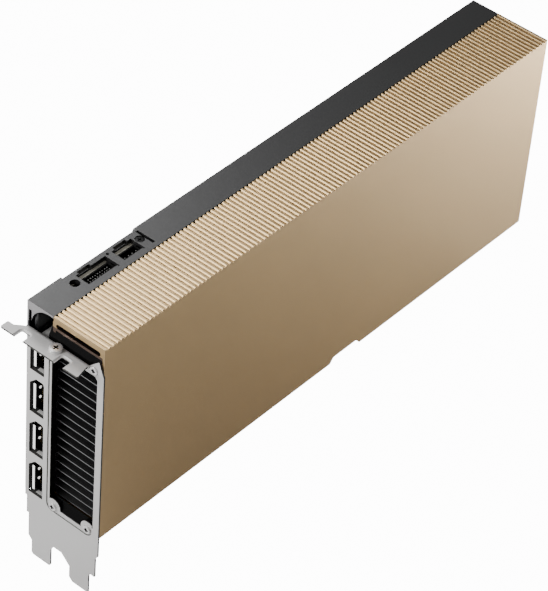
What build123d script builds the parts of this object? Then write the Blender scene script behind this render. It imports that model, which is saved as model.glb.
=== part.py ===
from build123d import *
from math import cos, pi
import os

os.makedirs("parts", exist_ok=True)

# A two-slot passive accelerator card, standing on its edge connector.
# X runs from the bracket's outer face to the rear, -Y is the gold side, Z is up.
# The origin lies at the bracket's outer face, on the board's component face, level
# with the bottom of the card-edge contacts. All sizes are in millimetres.

# Envelope
BODY_LENGTH = 266.6
TOP_Z = 108.2
COVER_BOTTOM_Z = 9.3
GOLD_FACE_Y = -34.79
BACK_FACE_Y = 4.24
SPLIT_Y = -9.0

# Bracket
BRACKET_T = 0.86
BRACKET_LEFT_Y = 3.34
BRACKET_WIDTH = 38.74
TONGUE_BOTTOM_Z = -22.25
TONGUE_LEFT_Y = -0.5
TONGUE_WIDTH = 10.19
SLOT_PITCH = 20.32
FLANGE_TOP_Z = 97.77
FLANGE_DEPTH = 8.1
FLANGE_RIGHT_Y = -29.9
FLANGE_STRAIGHT = 0.9
BEND_LEFT_Y = 2.7
BEND_LEFT_Z = 93.8
BEND_RIGHT_Y = -28.6
FLANGE_TAB_Y = 9.2
FLANGE_TAB_DEPTH = 4.0
FLANGE_TAB_END_Y = 6.2
FLANGE_ROOT_Y = 3.6
BEND_RADIUS = 2.4
NOTCH_WIDTH = 4.2
NOTCH_FIRST_Y = -0.05
NOTCH_CORNER = 0.7
NOTCH_DEPTH = 4.2
NOTCH_DISH = 0.9
NOTCH_DISH_DEPTH = 0.45
STRIP_BOTTOM_Z = 8.5
SHOULDER_Z = -0.7
SHOULDER_STEP = 1.25
LEFT_STRIP_Y = 2.45
LEFT_FOOT_Y = 1.35
LEFT_FOOT_Z = -12.8
TONGUE_LEFT_DROP = 2.0
GAP_BEVEL = 1.4
WAIST_Z = -11.0
TONGUE_GAP_Z = -10.3
TONGUE_GAP_SLOPE = 4.4
TONGUE_BEVEL = 1.8
PRESSED_DEPTH = 0.4
PRESSED_LEFT_Y = -7.9
PRESSED_RIGHT_Y = -31.9
PRESSED_BOTTOM_Z = 8.9
WINDOW_LEFT_Y = -9.2
WINDOW_RIGHT_Y = -32.4
WINDOW_BOTTOM_Z = 11.2
WINDOW_TOP_Z = 93.0
EAR_RADIUS = 3.6
BRACKET_SCREWS = [(-11.4, 11.8), (-29.5, 12.3), (-30.55, 96.2)]
HORN_TOP_Z = 101.5
HORN_Y = -33.0
HORN_TOP_WIDTH = 0.3
HORN_MIDDLE = (-34.0, 98.7)
HORN_BASE_Z = 95.1
EAR_FOOT_Z = 97.4

# Display sockets
PORT_COUNT = 4
PORT_PITCH = 21.6
PORT_FIRST_Z = 20.35
PORT_CENTRE_Y = -2.1
PORT_CUT = (7.3, 17.9)
PORT_CHAMFER = 3.2
PORT_CORNER = 1.2
PORT_CLEARANCE = 0.1
SHELL_T = 0.45
SHELL_GAP = 0.04
SHELL_DEPTH = 17.2
SHELL_TAB = 1.1
FOOT_REACH = 1.1
INSERT_T = 1.8
INSERT_WALL = 0.5
TONGUE_Y = (0.28, -1.27)
TONGUE_LENGTH = 12.6
TONGUE_DROP = 0.43
TONGUE_FRONT_X = 0.55
INSERT_SETBACK = 0.1
BARE_FLOOR = 1.6

# Gold cover
SIDE_T = 1.44
ROOF_T = 1.35
FLOOR_T = 1.0
FLOOR_EDGE_Y = -2.5
ROOF_GAP = 0.25
LIP_T = 0.8
LIP_BOTTOM_Z = 102.3
LIP_SLOT_HEIGHT = 2.2
LIP_SLOT_Z = 104.6
RIB_COUNT = 122
RIB_END = 0.6
RIB_DEPTH = 0.85
RIB_TOP = 0.7
RIB_GROOVE = 0.34
RELIEF_START_X = 138.4
RELIEF_LENGTH = 19.8
RELIEF_HEIGHT = 3.2
RELIEF_SLOPE = 2.6
BOSS_R = 2.4
BOSS_LENGTH = 6.6
BOSS_END = 1.2

# Dark top rail
RAIL_T = 2.2
RAIL_BAR_T = 4.6
RAIL_BAR_END = 0.8
RAIL_BAR_Z = 100.0
RAIL_BAR_START_X = 60.0
RAIL_BAR_SETBACK = 5.46
LEDGE_REACH = 3.4
LEDGE_T = 1.5
FACE_T = 1.4
SCOOP_R = 9.2
SCOOP_DEPTH = 3.0
SCOOP_CENTRE_Y = -7.2
SCOOP_CENTRE_Z = 98.2
FACE_EDGE_Y = -6.9
SLIT_Z = (98.0, 104.3)
SLIT_WIDTH = 1.4
LOCATOR_HOLE = (19.7, -1.8, 4.2)
PIN_HOLE = (40.1, 1.0, 1.3)
TOP_SCREW = (55.0, -1.65)
TOP_SCREW_HOLE_D = 4.0
MARK_SLOT_X = 57.5
MARK_SLOT_WIDTH = 1.3

# Backplate
BACKPLATE_T = 0.94
BACK_CUT_START_X = 18.4
BACK_CUT_LENGTH = 39.3
BACK_CUT_DEPTH = 4.0

# Board
BOARD_T = 1.57
BOARD_FRONT_X = 2.4
BOARD_SETBACK = 9.46
BOARD_TOP_Z = 105.4
BOARD_BOTTOM_Z = 8.25
EDGE_START_X = 44.55
EDGE_SHORT = 11.65
EDGE_KEY = 1.9
EDGE_LONG = 71.65

# Heatsink
BASE_T = 3.2
BASE_START_X = 24.0
BASE_GAP = 3.86
BASE_FACE_Y = -4.0
PAD_FACE_Y = -2.2
BASE_BOTTOM_Z = 17.0
BASE_TOP_Z = 98.5
FIN_START_X = 3.9
FIN_SETBACK = 6.96
FIN_PITCH = 4.33
FIN_FIRST_Z = 15.4
FIN_COUNT = 20
FIN_T = 0.4
FIN_FOOT_T = 0.5
FIN_TIP_GAP = 0.25

# Processor and the parts on the board
GPU_X = 118.0
GPU_Z = 58.0
GPU_SIZE = 50.0
CHIP_T = 1.2
DIE_SIZE = (27.0, 30.0)
STIFFENER_WIDTH = 3.5
STIFFENER_T = 0.7
MEMORY_SIZE = (12.0, 14.0)
MEMORY_ROWS = 4
MEMORY_PITCH = 17.0
MEMORY_OFFSET = 40.0
INDUCTOR_COUNT = 6
INDUCTOR_SIZE = 9.0
INDUCTOR_T = 3.4
INDUCTOR_PITCH = 9.6
INDUCTOR_X = 178.0
PLATFORM = (94.0, 72.0)
HEATSINK_SCREW_SPACING = 62.0
POST_R = 2.7
POST_BORE = 6.2
HEATSINK_SHANK_END = 5.8

# Connectors on the top edge and at the rear
SYNC_WINDOW = (22.9, 38.7)
AUX_WINDOW = (42.1, 52.75)
WINDOW_BACK_Y = 0.9
WINDOW_FRONT_Y = -5.9
SYNC_NOTCH = (24.5, 31.0)
AUX_NOTCH = (43.9, 50.6)
NOTCH_BACK_Y = 2.1
WINDOW_SLIT = 0.65
SLIT_REACH = 0.7
HOUSING_GAP = 0.4
HOUSING_TOP_GAP = 0.9
HOUSING_HEIGHT = 6.5
HOUSING_FLOOR = 1.2
HOUSING_WALL = 0.7
HOUSING_BACK_Y = -1.4
HOUSING_FOOT = 2.2
PIN_SIZE = 0.4
SYNC_PINS = 10
SYNC_PIN_PITCH = 1.27
SYNC_FIRST_X = 24.3
SYNC_ROWS_Y = (-2.9, -4.17)
AUX_PINS = 4
AUX_PIN_PITCH = 2.0
AUX_FIRST_X = 44.3
AUX_ROW_Y = -4.05
HEADER_SIZE = (15.0, 9.6, 18.6)
HEADER_Z = 88.0
HEADER_SETBACK = 0.6
HEADER_PITCH = 4.2
HEADER_CELL = 3.6
HEADER_DEPTH = 11.0
HEADER_PIN = 1.0
HEADER_LATCH = 1.0

# Rear frame
REAR_FRAME_T = 4.6
REAR_WALL = 2.6
REAR_HOLE_R = 1.25
REAR_HOLE_DEPTH = 4.0
REAR_BOSS_R = 3.0
REAR_HOLES = [(-4.5, 22.0), (-4.5, 66.0)]
INTAKE_Y = (-12.6, -31.6)
INTAKE_Z = (13.5, 102.0)

# Fasteners
SCREW_SHANK_R = 0.8
SCREW_HEAD_R = 1.85
SCREW_HEAD_T = 0.95
SCREW_GAP = 0.15
SCREW_DISH = 0.08
SCREW_END_GAP = 0.3
FLANGE_SCREW = (-2.9, -14.1)
FLANGE_SCREW_R = 1.0
FLANGE_HEAD_R = 2.7
FLANGE_HEAD_T = 1.1
BACK_SCREW_R = 1.0
BACK_HEAD_R = 2.0
BACK_SCREW_TOP = (66.0, 102.6)
BACK_SCREW_BOTTOM = (30.0, 12.5)
BACK_SCREW_SETBACK = 15.46
HOLE_SIDES = 8
HEATSINK_SHANK_R = 1.2
HEATSINK_HEAD_R = 2.9
HEATSINK_HEAD_T = 1.9

# Places that follow from the sizes above
FRONT_X = BRACKET_T
REAR_X = FRONT_X + BODY_LENGTH
RAIL_BAR_X = (RAIL_BAR_START_X, REAR_X - RAIL_BAR_SETBACK)
BOARD_REAR_X = REAR_X - BOARD_SETBACK
FIN_END_X = REAR_X - FIN_SETBACK
BRACKET_RIGHT_Y = BRACKET_LEFT_Y - BRACKET_WIDTH
RIB_STEP = (BODY_LENGTH - 2 * RIB_END) / (RIB_COUNT - 1)
ROOF_INNER_Z = TOP_Z - RIB_DEPTH - ROOF_T
SIDE_INNER_Y = GOLD_FACE_Y + SIDE_T
BACKPLATE_INNER_Y = BACK_FACE_Y - BACKPLATE_T
FIN_TIP_Y = SIDE_INNER_Y + FIN_TIP_GAP
BASE_BACK_Y = BASE_FACE_Y - BASE_T
PORTS_Z = [PORT_FIRST_Z + PORT_PITCH * i for i in range(PORT_COUNT)]
FLOOR_INNER_Z = COVER_BOTTOM_Z + FLOOR_T
RAIL_INNER_Z = TOP_Z - RAIL_T
LEDGE_INNER_Z = ROOF_INNER_Z - LEDGE_T
LEDGE_Y = SPLIT_Y - LEDGE_REACH
CLEAR = SCREW_GAP
SHELL_SIZE = (PORT_CUT[0] - 2 * PORT_CLEARANCE, PORT_CUT[1] - 2 * PORT_CLEARANCE)
BACK_SCREWS_TOP = [BACK_SCREW_TOP, (REAR_X - BACK_SCREW_SETBACK, BACK_SCREW_TOP[1])]
BACK_SCREWS_BOTTOM = [BACK_SCREW_BOTTOM, (REAR_X - BACK_SCREW_SETBACK, BACK_SCREW_BOTTOM[1])]
BACK_SCREWS = BACK_SCREWS_TOP + BACK_SCREWS_BOTTOM
DUCT_BACK_X = FIN_START_X - 0.4
HOUSING_TOP_Z = TOP_Z - HOUSING_TOP_GAP
HEADER_REAR_X = REAR_X - HEADER_SETBACK
HEADER_FRONT_X = HEADER_REAR_X - HEADER_SIZE[0]
BASE_END_X = HEADER_FRONT_X - BASE_GAP
SHELL_FRONT_X = FRONT_X + SHELL_GAP
HALF = HEATSINK_SCREW_SPACING / 2
HEATSINK_SCREWS = [
    (GPU_X - HALF, GPU_Z - HALF),
    (GPU_X + HALF, GPU_Z - HALF),
    (GPU_X - HALF, GPU_Z + HALF),
    (GPU_X + HALF, GPU_Z + HALF),
]


def block(x_span, y_span, z_span, mode=Mode.ADD):
    """A box between three pairs of coordinates."""
    spans = (x_span, y_span, z_span)
    sizes = [abs(b - a) for a, b in spans]
    middle = [(a + b) / 2 for a, b in spans]
    with Locations(tuple(middle)):
        Box(sizes[0], sizes[1], sizes[2], mode=mode)


def rod_x(y, z, x_span, radius, mode=Mode.ADD):
    """A cylinder along X."""
    with Locations(Location(((x_span[0] + x_span[1]) / 2, y, z), (0, 90, 0))):
        Cylinder(radius, abs(x_span[1] - x_span[0]), mode=mode)


def rod_y(x, z, y_span, radius, mode=Mode.ADD):
    """A cylinder along Y."""
    with Locations(Location((x, (y_span[0] + y_span[1]) / 2, z), (90, 0, 0))):
        Cylinder(radius, abs(y_span[1] - y_span[0]), mode=mode)


def rod_z(x, y, z_span, radius, mode=Mode.ADD):
    """A cylinder along Z."""
    with Locations((x, y, (z_span[0] + z_span[1]) / 2)):
        Cylinder(radius, abs(z_span[1] - z_span[0]), mode=mode)


def hidden_hole(plane, centre, depth, radius):
    """Cuts a hole that no side shows, eight-sided round the given radius to save faces."""
    across = radius / cos(pi / HOLE_SIDES)
    with BuildPart(mode=Mode.PRIVATE) as hole:
        with BuildSketch(plane):
            with Locations(centre):
                RegularPolygon(across, HOLE_SIDES)
        extrude(amount=depth)
    add(hole.part, mode=Mode.SUBTRACT)


def flat_head(x, z, mode=Mode.ADD):
    """The countersunk head of a backplate screw, wide end outwards."""
    middle = (x, (BACK_FACE_Y + BACKPLATE_INNER_Y) / 2, z)
    with Locations(Location(middle, (-90, 0, 0))):
        Cone(BACK_SCREW_R, BACK_HEAD_R, BACKPLATE_T, mode=mode)


def rib_line():
    """The ribbed top line of the gold cover, from its front edge to its rear edge."""
    points = [(FRONT_X, TOP_Z)]
    for n in range(RIB_COUNT - 1):
        crest = FRONT_X + RIB_END + n * RIB_STEP
        valley = crest + RIB_STEP / 2
        following = crest + RIB_STEP
        points += [
            (crest + RIB_TOP / 2, TOP_Z),
            (valley - RIB_GROOVE / 2, TOP_Z - RIB_DEPTH),
            (valley + RIB_GROOVE / 2, TOP_Z - RIB_DEPTH),
            (following - RIB_TOP / 2, TOP_Z),
        ]
    points.append((REAR_X, TOP_Z))
    return points


# Gold cover: ribbed roof, plain side with its relief, floor, front lip and bosses
with BuildPart() as gold_cover:
    with BuildSketch(Plane.XZ.offset(ROOF_GAP - SPLIT_Y)):
        with BuildLine():
            Polyline(*rib_line(), (REAR_X, ROOF_INNER_Z), (FRONT_X, ROOF_INNER_Z), close=True)
        make_face()
    extrude(amount=SPLIT_Y - ROOF_GAP - GOLD_FACE_Y)
    with BuildPart(mode=Mode.PRIVATE) as cover_shell:
        block((FRONT_X, REAR_X), (GOLD_FACE_Y, SIDE_INNER_Y), (COVER_BOTTOM_Z, ROOF_INNER_Z))
        block((FRONT_X, REAR_X), (GOLD_FACE_Y, FLOOR_EDGE_Y), (COVER_BOTTOM_Z, FLOOR_INNER_Z))
        hem = cover_shell.edges().filter_by(Axis.X).sort_by(Axis.Z)[:2].sort_by(Axis.Y)[0]
        fillet(hem, radius=FLOOR_T * 0.8)
        for x, z in BACK_SCREWS_BOTTOM:
            rod_y(x, z, (0, -BOSS_LENGTH), BOSS_R)
            hidden_hole(Plane.XZ, (x, z), BOSS_LENGTH - BOSS_END, BACK_SCREW_R)
        with BuildSketch(Plane.XZ.offset(-FLOOR_EDGE_Y)) as relief:
            with BuildLine():
                Polyline(
                    (RELIEF_START_X, COVER_BOTTOM_Z - 1),
                    (RELIEF_START_X, COVER_BOTTOM_Z),
                    (RELIEF_START_X + RELIEF_SLOPE, COVER_BOTTOM_Z + RELIEF_HEIGHT),
                    (RELIEF_START_X + RELIEF_LENGTH - RELIEF_SLOPE, COVER_BOTTOM_Z + RELIEF_HEIGHT),
                    (RELIEF_START_X + RELIEF_LENGTH, COVER_BOTTOM_Z),
                    (RELIEF_START_X + RELIEF_LENGTH, COVER_BOTTOM_Z - 1),
                    close=True,
                )
            make_face()
            fillet(relief.vertices().sort_by(Axis.Y)[-2:], radius=1.0)
        extrude(amount=FLOOR_EDGE_Y - GOLD_FACE_Y, mode=Mode.SUBTRACT)
        with BuildSketch(Plane.YZ.offset(FRONT_X)) as lip:
            lip_width = SPLIT_Y - GOLD_FACE_Y
            lip_middle = (SPLIT_Y + GOLD_FACE_Y) / 2
            with Locations((lip_middle, (LIP_BOTTOM_Z + ROOF_INNER_Z) / 2)):
                Rectangle(lip_width, ROOF_INNER_Z - LIP_BOTTOM_Z)
            with Locations((SPLIT_Y - 0.7, (LIP_BOTTOM_Z + ROOF_INNER_Z) / 2 - 0.65)):
                Rectangle(1.4, ROOF_INNER_Z - LIP_BOTTOM_Z + 1.3)
            fillet(lip.vertices().sort_by(Axis.Y)[:2], radius=0.6)
            with Locations((lip_middle + 0.3, LIP_SLOT_Z)):
                SlotOverall(lip_width - 3.6, LIP_SLOT_HEIGHT, mode=Mode.SUBTRACT)
        extrude(amount=LIP_T)
    add(cover_shell.part)
gold_cover.part.label = "gold_cover"
export_step(gold_cover.part, "parts/gold_cover.step")

# Dark top rail: flat strip, ledge under the gold roof, bar against the board, front face
with BuildPart() as top_frame:
    with BuildSketch(Plane.YZ.offset(FRONT_X)):
        with BuildLine():
            Polyline(
                (BACKPLATE_INNER_Y, TOP_Z),
                (SPLIT_Y, TOP_Z),
                (SPLIT_Y, ROOF_INNER_Z),
                (LEDGE_Y, ROOF_INNER_Z),
                (LEDGE_Y, LEDGE_INNER_Z),
                (SPLIT_Y + LEDGE_T, LEDGE_INNER_Z),
                (SPLIT_Y + LEDGE_T, RAIL_INNER_Z),
                (BACKPLATE_INNER_Y, RAIL_INNER_Z),
                close=True,
            )
        make_face()
    extrude(amount=BODY_LENGTH)
    block((FRONT_X, FRONT_X + LIP_T), (LEDGE_Y, SPLIT_Y), (LEDGE_INNER_Z, ROOF_INNER_Z), Mode.SUBTRACT)
    block(RAIL_BAR_X, (-RAIL_BAR_T, 0), (RAIL_BAR_Z, RAIL_INNER_Z))
    block((FRONT_X, FRONT_X + FACE_T), (FACE_EDGE_Y, BACKPLATE_INNER_Y), (SLIT_Z[0], RAIL_INNER_Z))
    rod_x(SCOOP_CENTRE_Y, SCOOP_CENTRE_Z, (0, FRONT_X + SCOOP_DEPTH), SCOOP_R, Mode.SUBTRACT)
    slit_y = (BACKPLATE_INNER_Y - SLIT_WIDTH, BACKPLATE_INNER_Y)
    block((0, FRONT_X + FACE_T), slit_y, SLIT_Z, Mode.SUBTRACT)
    above = (RAIL_INNER_Z, TOP_Z)
    for window, notch in ((SYNC_WINDOW, SYNC_NOTCH), (AUX_WINDOW, AUX_NOTCH)):
        block(window, (WINDOW_FRONT_Y, WINDOW_BACK_Y), above, Mode.SUBTRACT)
        block(notch, (0, NOTCH_BACK_Y), above, Mode.SUBTRACT)
        far_end = (window[1] - WINDOW_SLIT, window[1])
        block(far_end, (WINDOW_FRONT_Y - SLIT_REACH, 0), above, Mode.SUBTRACT)
    for x, y, diameter in (LOCATOR_HOLE, PIN_HOLE):
        rod_z(x, y, above, diameter / 2, Mode.SUBTRACT)
    seat = (TOP_Z - SCREW_HEAD_T - 0.3, TOP_Z)
    rod_z(TOP_SCREW[0], TOP_SCREW[1], seat, TOP_SCREW_HOLE_D / 2, Mode.SUBTRACT)
    hidden_hole(Plane.XY.offset(RAIL_INNER_Z), TOP_SCREW, RAIL_T, SCREW_SHANK_R + CLEAR)
    mark = (MARK_SLOT_X - MARK_SLOT_WIDTH / 2, MARK_SLOT_X + MARK_SLOT_WIDTH / 2)
    block(mark, (WINDOW_FRONT_Y - SLIT_REACH, 2.4), above, Mode.SUBTRACT)
    for x, z in BACK_SCREWS_TOP:
        hidden_hole(Plane.XZ, (x, z), RAIL_BAR_T - RAIL_BAR_END, BACK_SCREW_R)
top_frame.part.label = "top_frame"
export_step(top_frame.part, "parts/top_frame.step")

# Backplate: flat sheet with the cut at the connectors, screw pads and the holes behind the heatsink screws
with BuildPart() as backplate:
    with BuildSketch(Plane.XZ.offset(-BACK_FACE_Y)) as back_outline:
        with BuildLine():
            Polyline(
                (FRONT_X, COVER_BOTTOM_Z),
                (FRONT_X, TOP_Z),
                (BACK_CUT_START_X, TOP_Z),
                (BACK_CUT_START_X + 0.7, TOP_Z - BACK_CUT_DEPTH),
                (BACK_CUT_START_X + BACK_CUT_LENGTH - 2.3, TOP_Z - BACK_CUT_DEPTH),
                (BACK_CUT_START_X + BACK_CUT_LENGTH, TOP_Z),
                (REAR_X, TOP_Z),
                (REAR_X, COVER_BOTTOM_Z),
                close=True,
            )
        make_face()
        fillet(back_outline.vertices().sort_by(Axis.Y)[:2], radius=1.5)
    extrude(amount=BACKPLATE_T)
    for x, z in BACK_SCREWS:
        block((x - BOSS_R, x + BOSS_R), (BOARD_T, BACKPLATE_INNER_Y), (z - BOSS_R, z + BOSS_R))
        pad_depth = BACKPLATE_INNER_Y - BOARD_T
        hidden_hole(Plane.XZ.offset(-BACKPLATE_INNER_Y), (x, z), pad_depth, BACK_SCREW_R + CLEAR)
        flat_head(x, z, Mode.SUBTRACT)
    for x, z in HEATSINK_SCREWS:
        rod_y(x, z, (BACKPLATE_INNER_Y, BACK_FACE_Y), HEATSINK_HEAD_R + 0.8, Mode.SUBTRACT)
backplate.part.label = "backplate"
export_step(backplate.part, "parts/backplate.step")

# Bracket: plate with sockets, window and pressed panel, rolled bend, flange with notches
TONGUE_2_Y = TONGUE_LEFT_Y - SLOT_PITCH
GAP_LEFT_Y = TONGUE_LEFT_Y - TONGUE_WIDTH - GAP_BEVEL
BEND_X = BRACKET_T - BEND_RADIUS
BEND_Z = FLANGE_TOP_Z - BEND_RADIUS
with BuildPart() as io_bracket:
    with BuildSketch(Plane.YZ) as plate_outline:
        with BuildLine():
            Polyline(
                (BRACKET_RIGHT_Y, HORN_BASE_Z),
                (BRACKET_RIGHT_Y, SHOULDER_Z + 1.35 * SHOULDER_STEP),
                (BRACKET_RIGHT_Y + SHOULDER_STEP, SHOULDER_Z),
                (BRACKET_RIGHT_Y + SHOULDER_STEP, WAIST_Z),
                (TONGUE_2_Y - TONGUE_WIDTH - TONGUE_BEVEL / 4, WAIST_Z),
                (TONGUE_2_Y - TONGUE_WIDTH, WAIST_Z - TONGUE_BEVEL),
                (TONGUE_2_Y - TONGUE_WIDTH, TONGUE_BOTTOM_Z),
                (TONGUE_2_Y - TONGUE_BEVEL, TONGUE_BOTTOM_Z),
                (TONGUE_2_Y, TONGUE_BOTTOM_Z + TONGUE_BEVEL),
                (TONGUE_2_Y, TONGUE_GAP_Z - TONGUE_GAP_SLOPE),
                (TONGUE_2_Y + TONGUE_GAP_SLOPE, TONGUE_GAP_Z),
                (GAP_LEFT_Y, TONGUE_GAP_Z),
                (TONGUE_LEFT_Y - TONGUE_WIDTH, TONGUE_GAP_Z - 2 * GAP_BEVEL),
                (TONGUE_LEFT_Y - TONGUE_WIDTH, TONGUE_BOTTOM_Z),
                (TONGUE_LEFT_Y - TONGUE_BEVEL / 2, TONGUE_BOTTOM_Z),
                (TONGUE_LEFT_Y, TONGUE_BOTTOM_Z + TONGUE_BEVEL / 2),
                (TONGUE_LEFT_Y, LEFT_FOOT_Z - TONGUE_LEFT_DROP),
                (LEFT_FOOT_Y, LEFT_FOOT_Z),
                (LEFT_FOOT_Y, SHOULDER_Z),
                (LEFT_STRIP_Y, SHOULDER_Z),
                (LEFT_STRIP_Y, STRIP_BOTTOM_Z),
                (BRACKET_LEFT_Y, STRIP_BOTTOM_Z),
                (BRACKET_LEFT_Y, BEND_LEFT_Z),
                (BEND_LEFT_Y, BEND_Z),
                (BEND_RIGHT_Y, BEND_Z),
                (BEND_RIGHT_Y, EAR_FOOT_Z),
                (HORN_Y + HORN_TOP_WIDTH, HORN_TOP_Z),
                (HORN_Y, HORN_TOP_Z),
            )
            Spline((HORN_Y, HORN_TOP_Z), HORN_MIDDLE, (BRACKET_RIGHT_Y, HORN_BASE_Z))
        make_face()
        tongue_corner = (TONGUE_LEFT_Y - TONGUE_WIDTH, TONGUE_BOTTOM_Z)
        gap_corner = (GAP_LEFT_Y, TONGUE_GAP_Z)
        for y, z in (tongue_corner, gap_corner):
            nearest = plate_outline.vertices().sort_by_distance(Vertex(y, z, 0))[0]
            fillet(nearest, radius=1.0)
        window_middle = ((WINDOW_LEFT_Y + WINDOW_RIGHT_Y) / 2, (WINDOW_BOTTOM_Z + WINDOW_TOP_Z) / 2)
        with Locations(window_middle):
            window_size = (WINDOW_LEFT_Y - WINDOW_RIGHT_Y, WINDOW_TOP_Z - WINDOW_BOTTOM_Z)
            RectangleRounded(window_size[0], window_size[1], 1.5, mode=Mode.SUBTRACT)
        for y, z in BRACKET_SCREWS[:2]:
            with Locations((y, z)):
                Circle(EAR_RADIUS)
    extrude(amount=BRACKET_T)
    with BuildSketch(Plane.XZ.offset(-BEND_LEFT_Y)):
        with BuildLine():
            outer = CenterArc((BEND_X, BEND_Z), BEND_RADIUS, 0, 90)
            inner = CenterArc((BEND_X, BEND_Z), BEND_RADIUS - BRACKET_T, 0, 90)
            Line(outer @ 0, inner @ 0)
            Line(outer @ 1, inner @ 1)
        make_face()
    extrude(amount=BEND_LEFT_Y - BEND_RIGHT_Y)
    with BuildSketch(Plane.XY.offset(FLANGE_TOP_Z - BRACKET_T)) as flange:
        with BuildLine():
            Polyline(
                (BEND_X, BEND_RIGHT_Y),
                (BEND_X - FLANGE_STRAIGHT, BEND_RIGHT_Y),
                (-FLANGE_DEPTH, FLANGE_RIGHT_Y),
                (-FLANGE_DEPTH, FLANGE_TAB_Y),
                (-FLANGE_TAB_DEPTH, FLANGE_TAB_Y),
                (-FLANGE_TAB_DEPTH, FLANGE_TAB_END_Y),
                (BEND_X - 0.4, FLANGE_ROOT_Y),
                (BEND_X, BEND_LEFT_Y),
                close=True,
            )
        make_face()
        fillet([v for v in flange.vertices() if v.X < -3.0], radius=0.6)
        for n in range(2):
            with Locations((-FLANGE_DEPTH, NOTCH_FIRST_Y - n * SLOT_PITCH)):
                RectangleRounded(2 * NOTCH_DEPTH, NOTCH_WIDTH, NOTCH_CORNER, mode=Mode.SUBTRACT)
    extrude(amount=BRACKET_T)
    hidden_hole(Plane.XY.offset(FLANGE_TOP_Z - BRACKET_T), FLANGE_SCREW, BRACKET_T, FLANGE_SCREW_R)
    with BuildSketch(Plane.XY.offset(FLANGE_TOP_Z)):
        for n in range(2):
            with Locations((-FLANGE_DEPTH, NOTCH_FIRST_Y - n * SLOT_PITCH)):
                dish = (2 * (NOTCH_DEPTH + NOTCH_DISH), NOTCH_WIDTH + 2 * NOTCH_DISH)
                RectangleRounded(dish[0], dish[1], NOTCH_CORNER + NOTCH_DISH)
    extrude(amount=-NOTCH_DISH_DEPTH, taper=55, mode=Mode.SUBTRACT)
    with BuildSketch(Plane.YZ) as port_cuts:
        for z in PORTS_Z:
            half_y = PORT_CUT[0] / 2
            half_z = PORT_CUT[1] / 2
            with Locations((PORT_CENTRE_Y, z)):
                Polygon(
                    (-half_y, -half_z),
                    (half_y, -half_z),
                    (half_y, half_z - PORT_CHAMFER),
                    (half_y - PORT_CHAMFER, half_z),
                    (-half_y, half_z),
                    align=None,
                )
        for z in PORTS_Z:
            corner = Vertex(PORT_CENTRE_Y - half_y, z + half_z, 0)
            fillet(port_cuts.vertices().sort_by_distance(corner)[0], radius=PORT_CORNER)
    extrude(amount=BRACKET_T, mode=Mode.SUBTRACT)
    with BuildSketch(Plane.YZ):
        panel_z = (PRESSED_BOTTOM_Z, BEND_Z - 0.5)
        with Locations(((PRESSED_LEFT_Y + PRESSED_RIGHT_Y) / 2, (panel_z[0] + panel_z[1]) / 2)):
            RectangleRounded(PRESSED_LEFT_Y - PRESSED_RIGHT_Y, panel_z[1] - panel_z[0], 3.4)
    extrude(amount=PRESSED_DEPTH, taper=35, mode=Mode.SUBTRACT)
    ear_y, ear_z = BRACKET_SCREWS[2]
    rod_x(ear_y, ear_z, (0, PRESSED_DEPTH), SCREW_HEAD_R + SCREW_DISH, Mode.SUBTRACT)
    for centre in BRACKET_SCREWS:
        hidden_hole(Plane.YZ, centre, BRACKET_T, SCREW_SHANK_R + CLEAR)
io_bracket.part.label = "io_bracket"
export_step(io_bracket.part, "parts/io_bracket.step")

# Flange screw, threaded into the flange, and the three small screws in the bracket's face
with BuildPart() as flange_screw:
    rod_z(FLANGE_SCREW[0], FLANGE_SCREW[1], (FLANGE_TOP_Z, FLANGE_TOP_Z + FLANGE_HEAD_T), FLANGE_HEAD_R)
    rod_z(FLANGE_SCREW[0], FLANGE_SCREW[1], (FLANGE_TOP_Z - BRACKET_T, FLANGE_TOP_Z), FLANGE_SCREW_R)
flange_screw.part.label = "flange_screw"
export_step(flange_screw.part, "parts/flange_screw.step")

with BuildPart() as bracket_screws:
    for y, z in BRACKET_SCREWS:
        rod_x(y, z, (PRESSED_DEPTH - SCREW_HEAD_T, PRESSED_DEPTH), SCREW_HEAD_R)
        rod_x(y, z, (PRESSED_DEPTH, DUCT_BACK_X - SCREW_END_GAP), SCREW_SHANK_R)
bracket_screws.part.label = "bracket_screws"
export_step(bracket_screws.part, "parts/bracket_screws.step")

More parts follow.
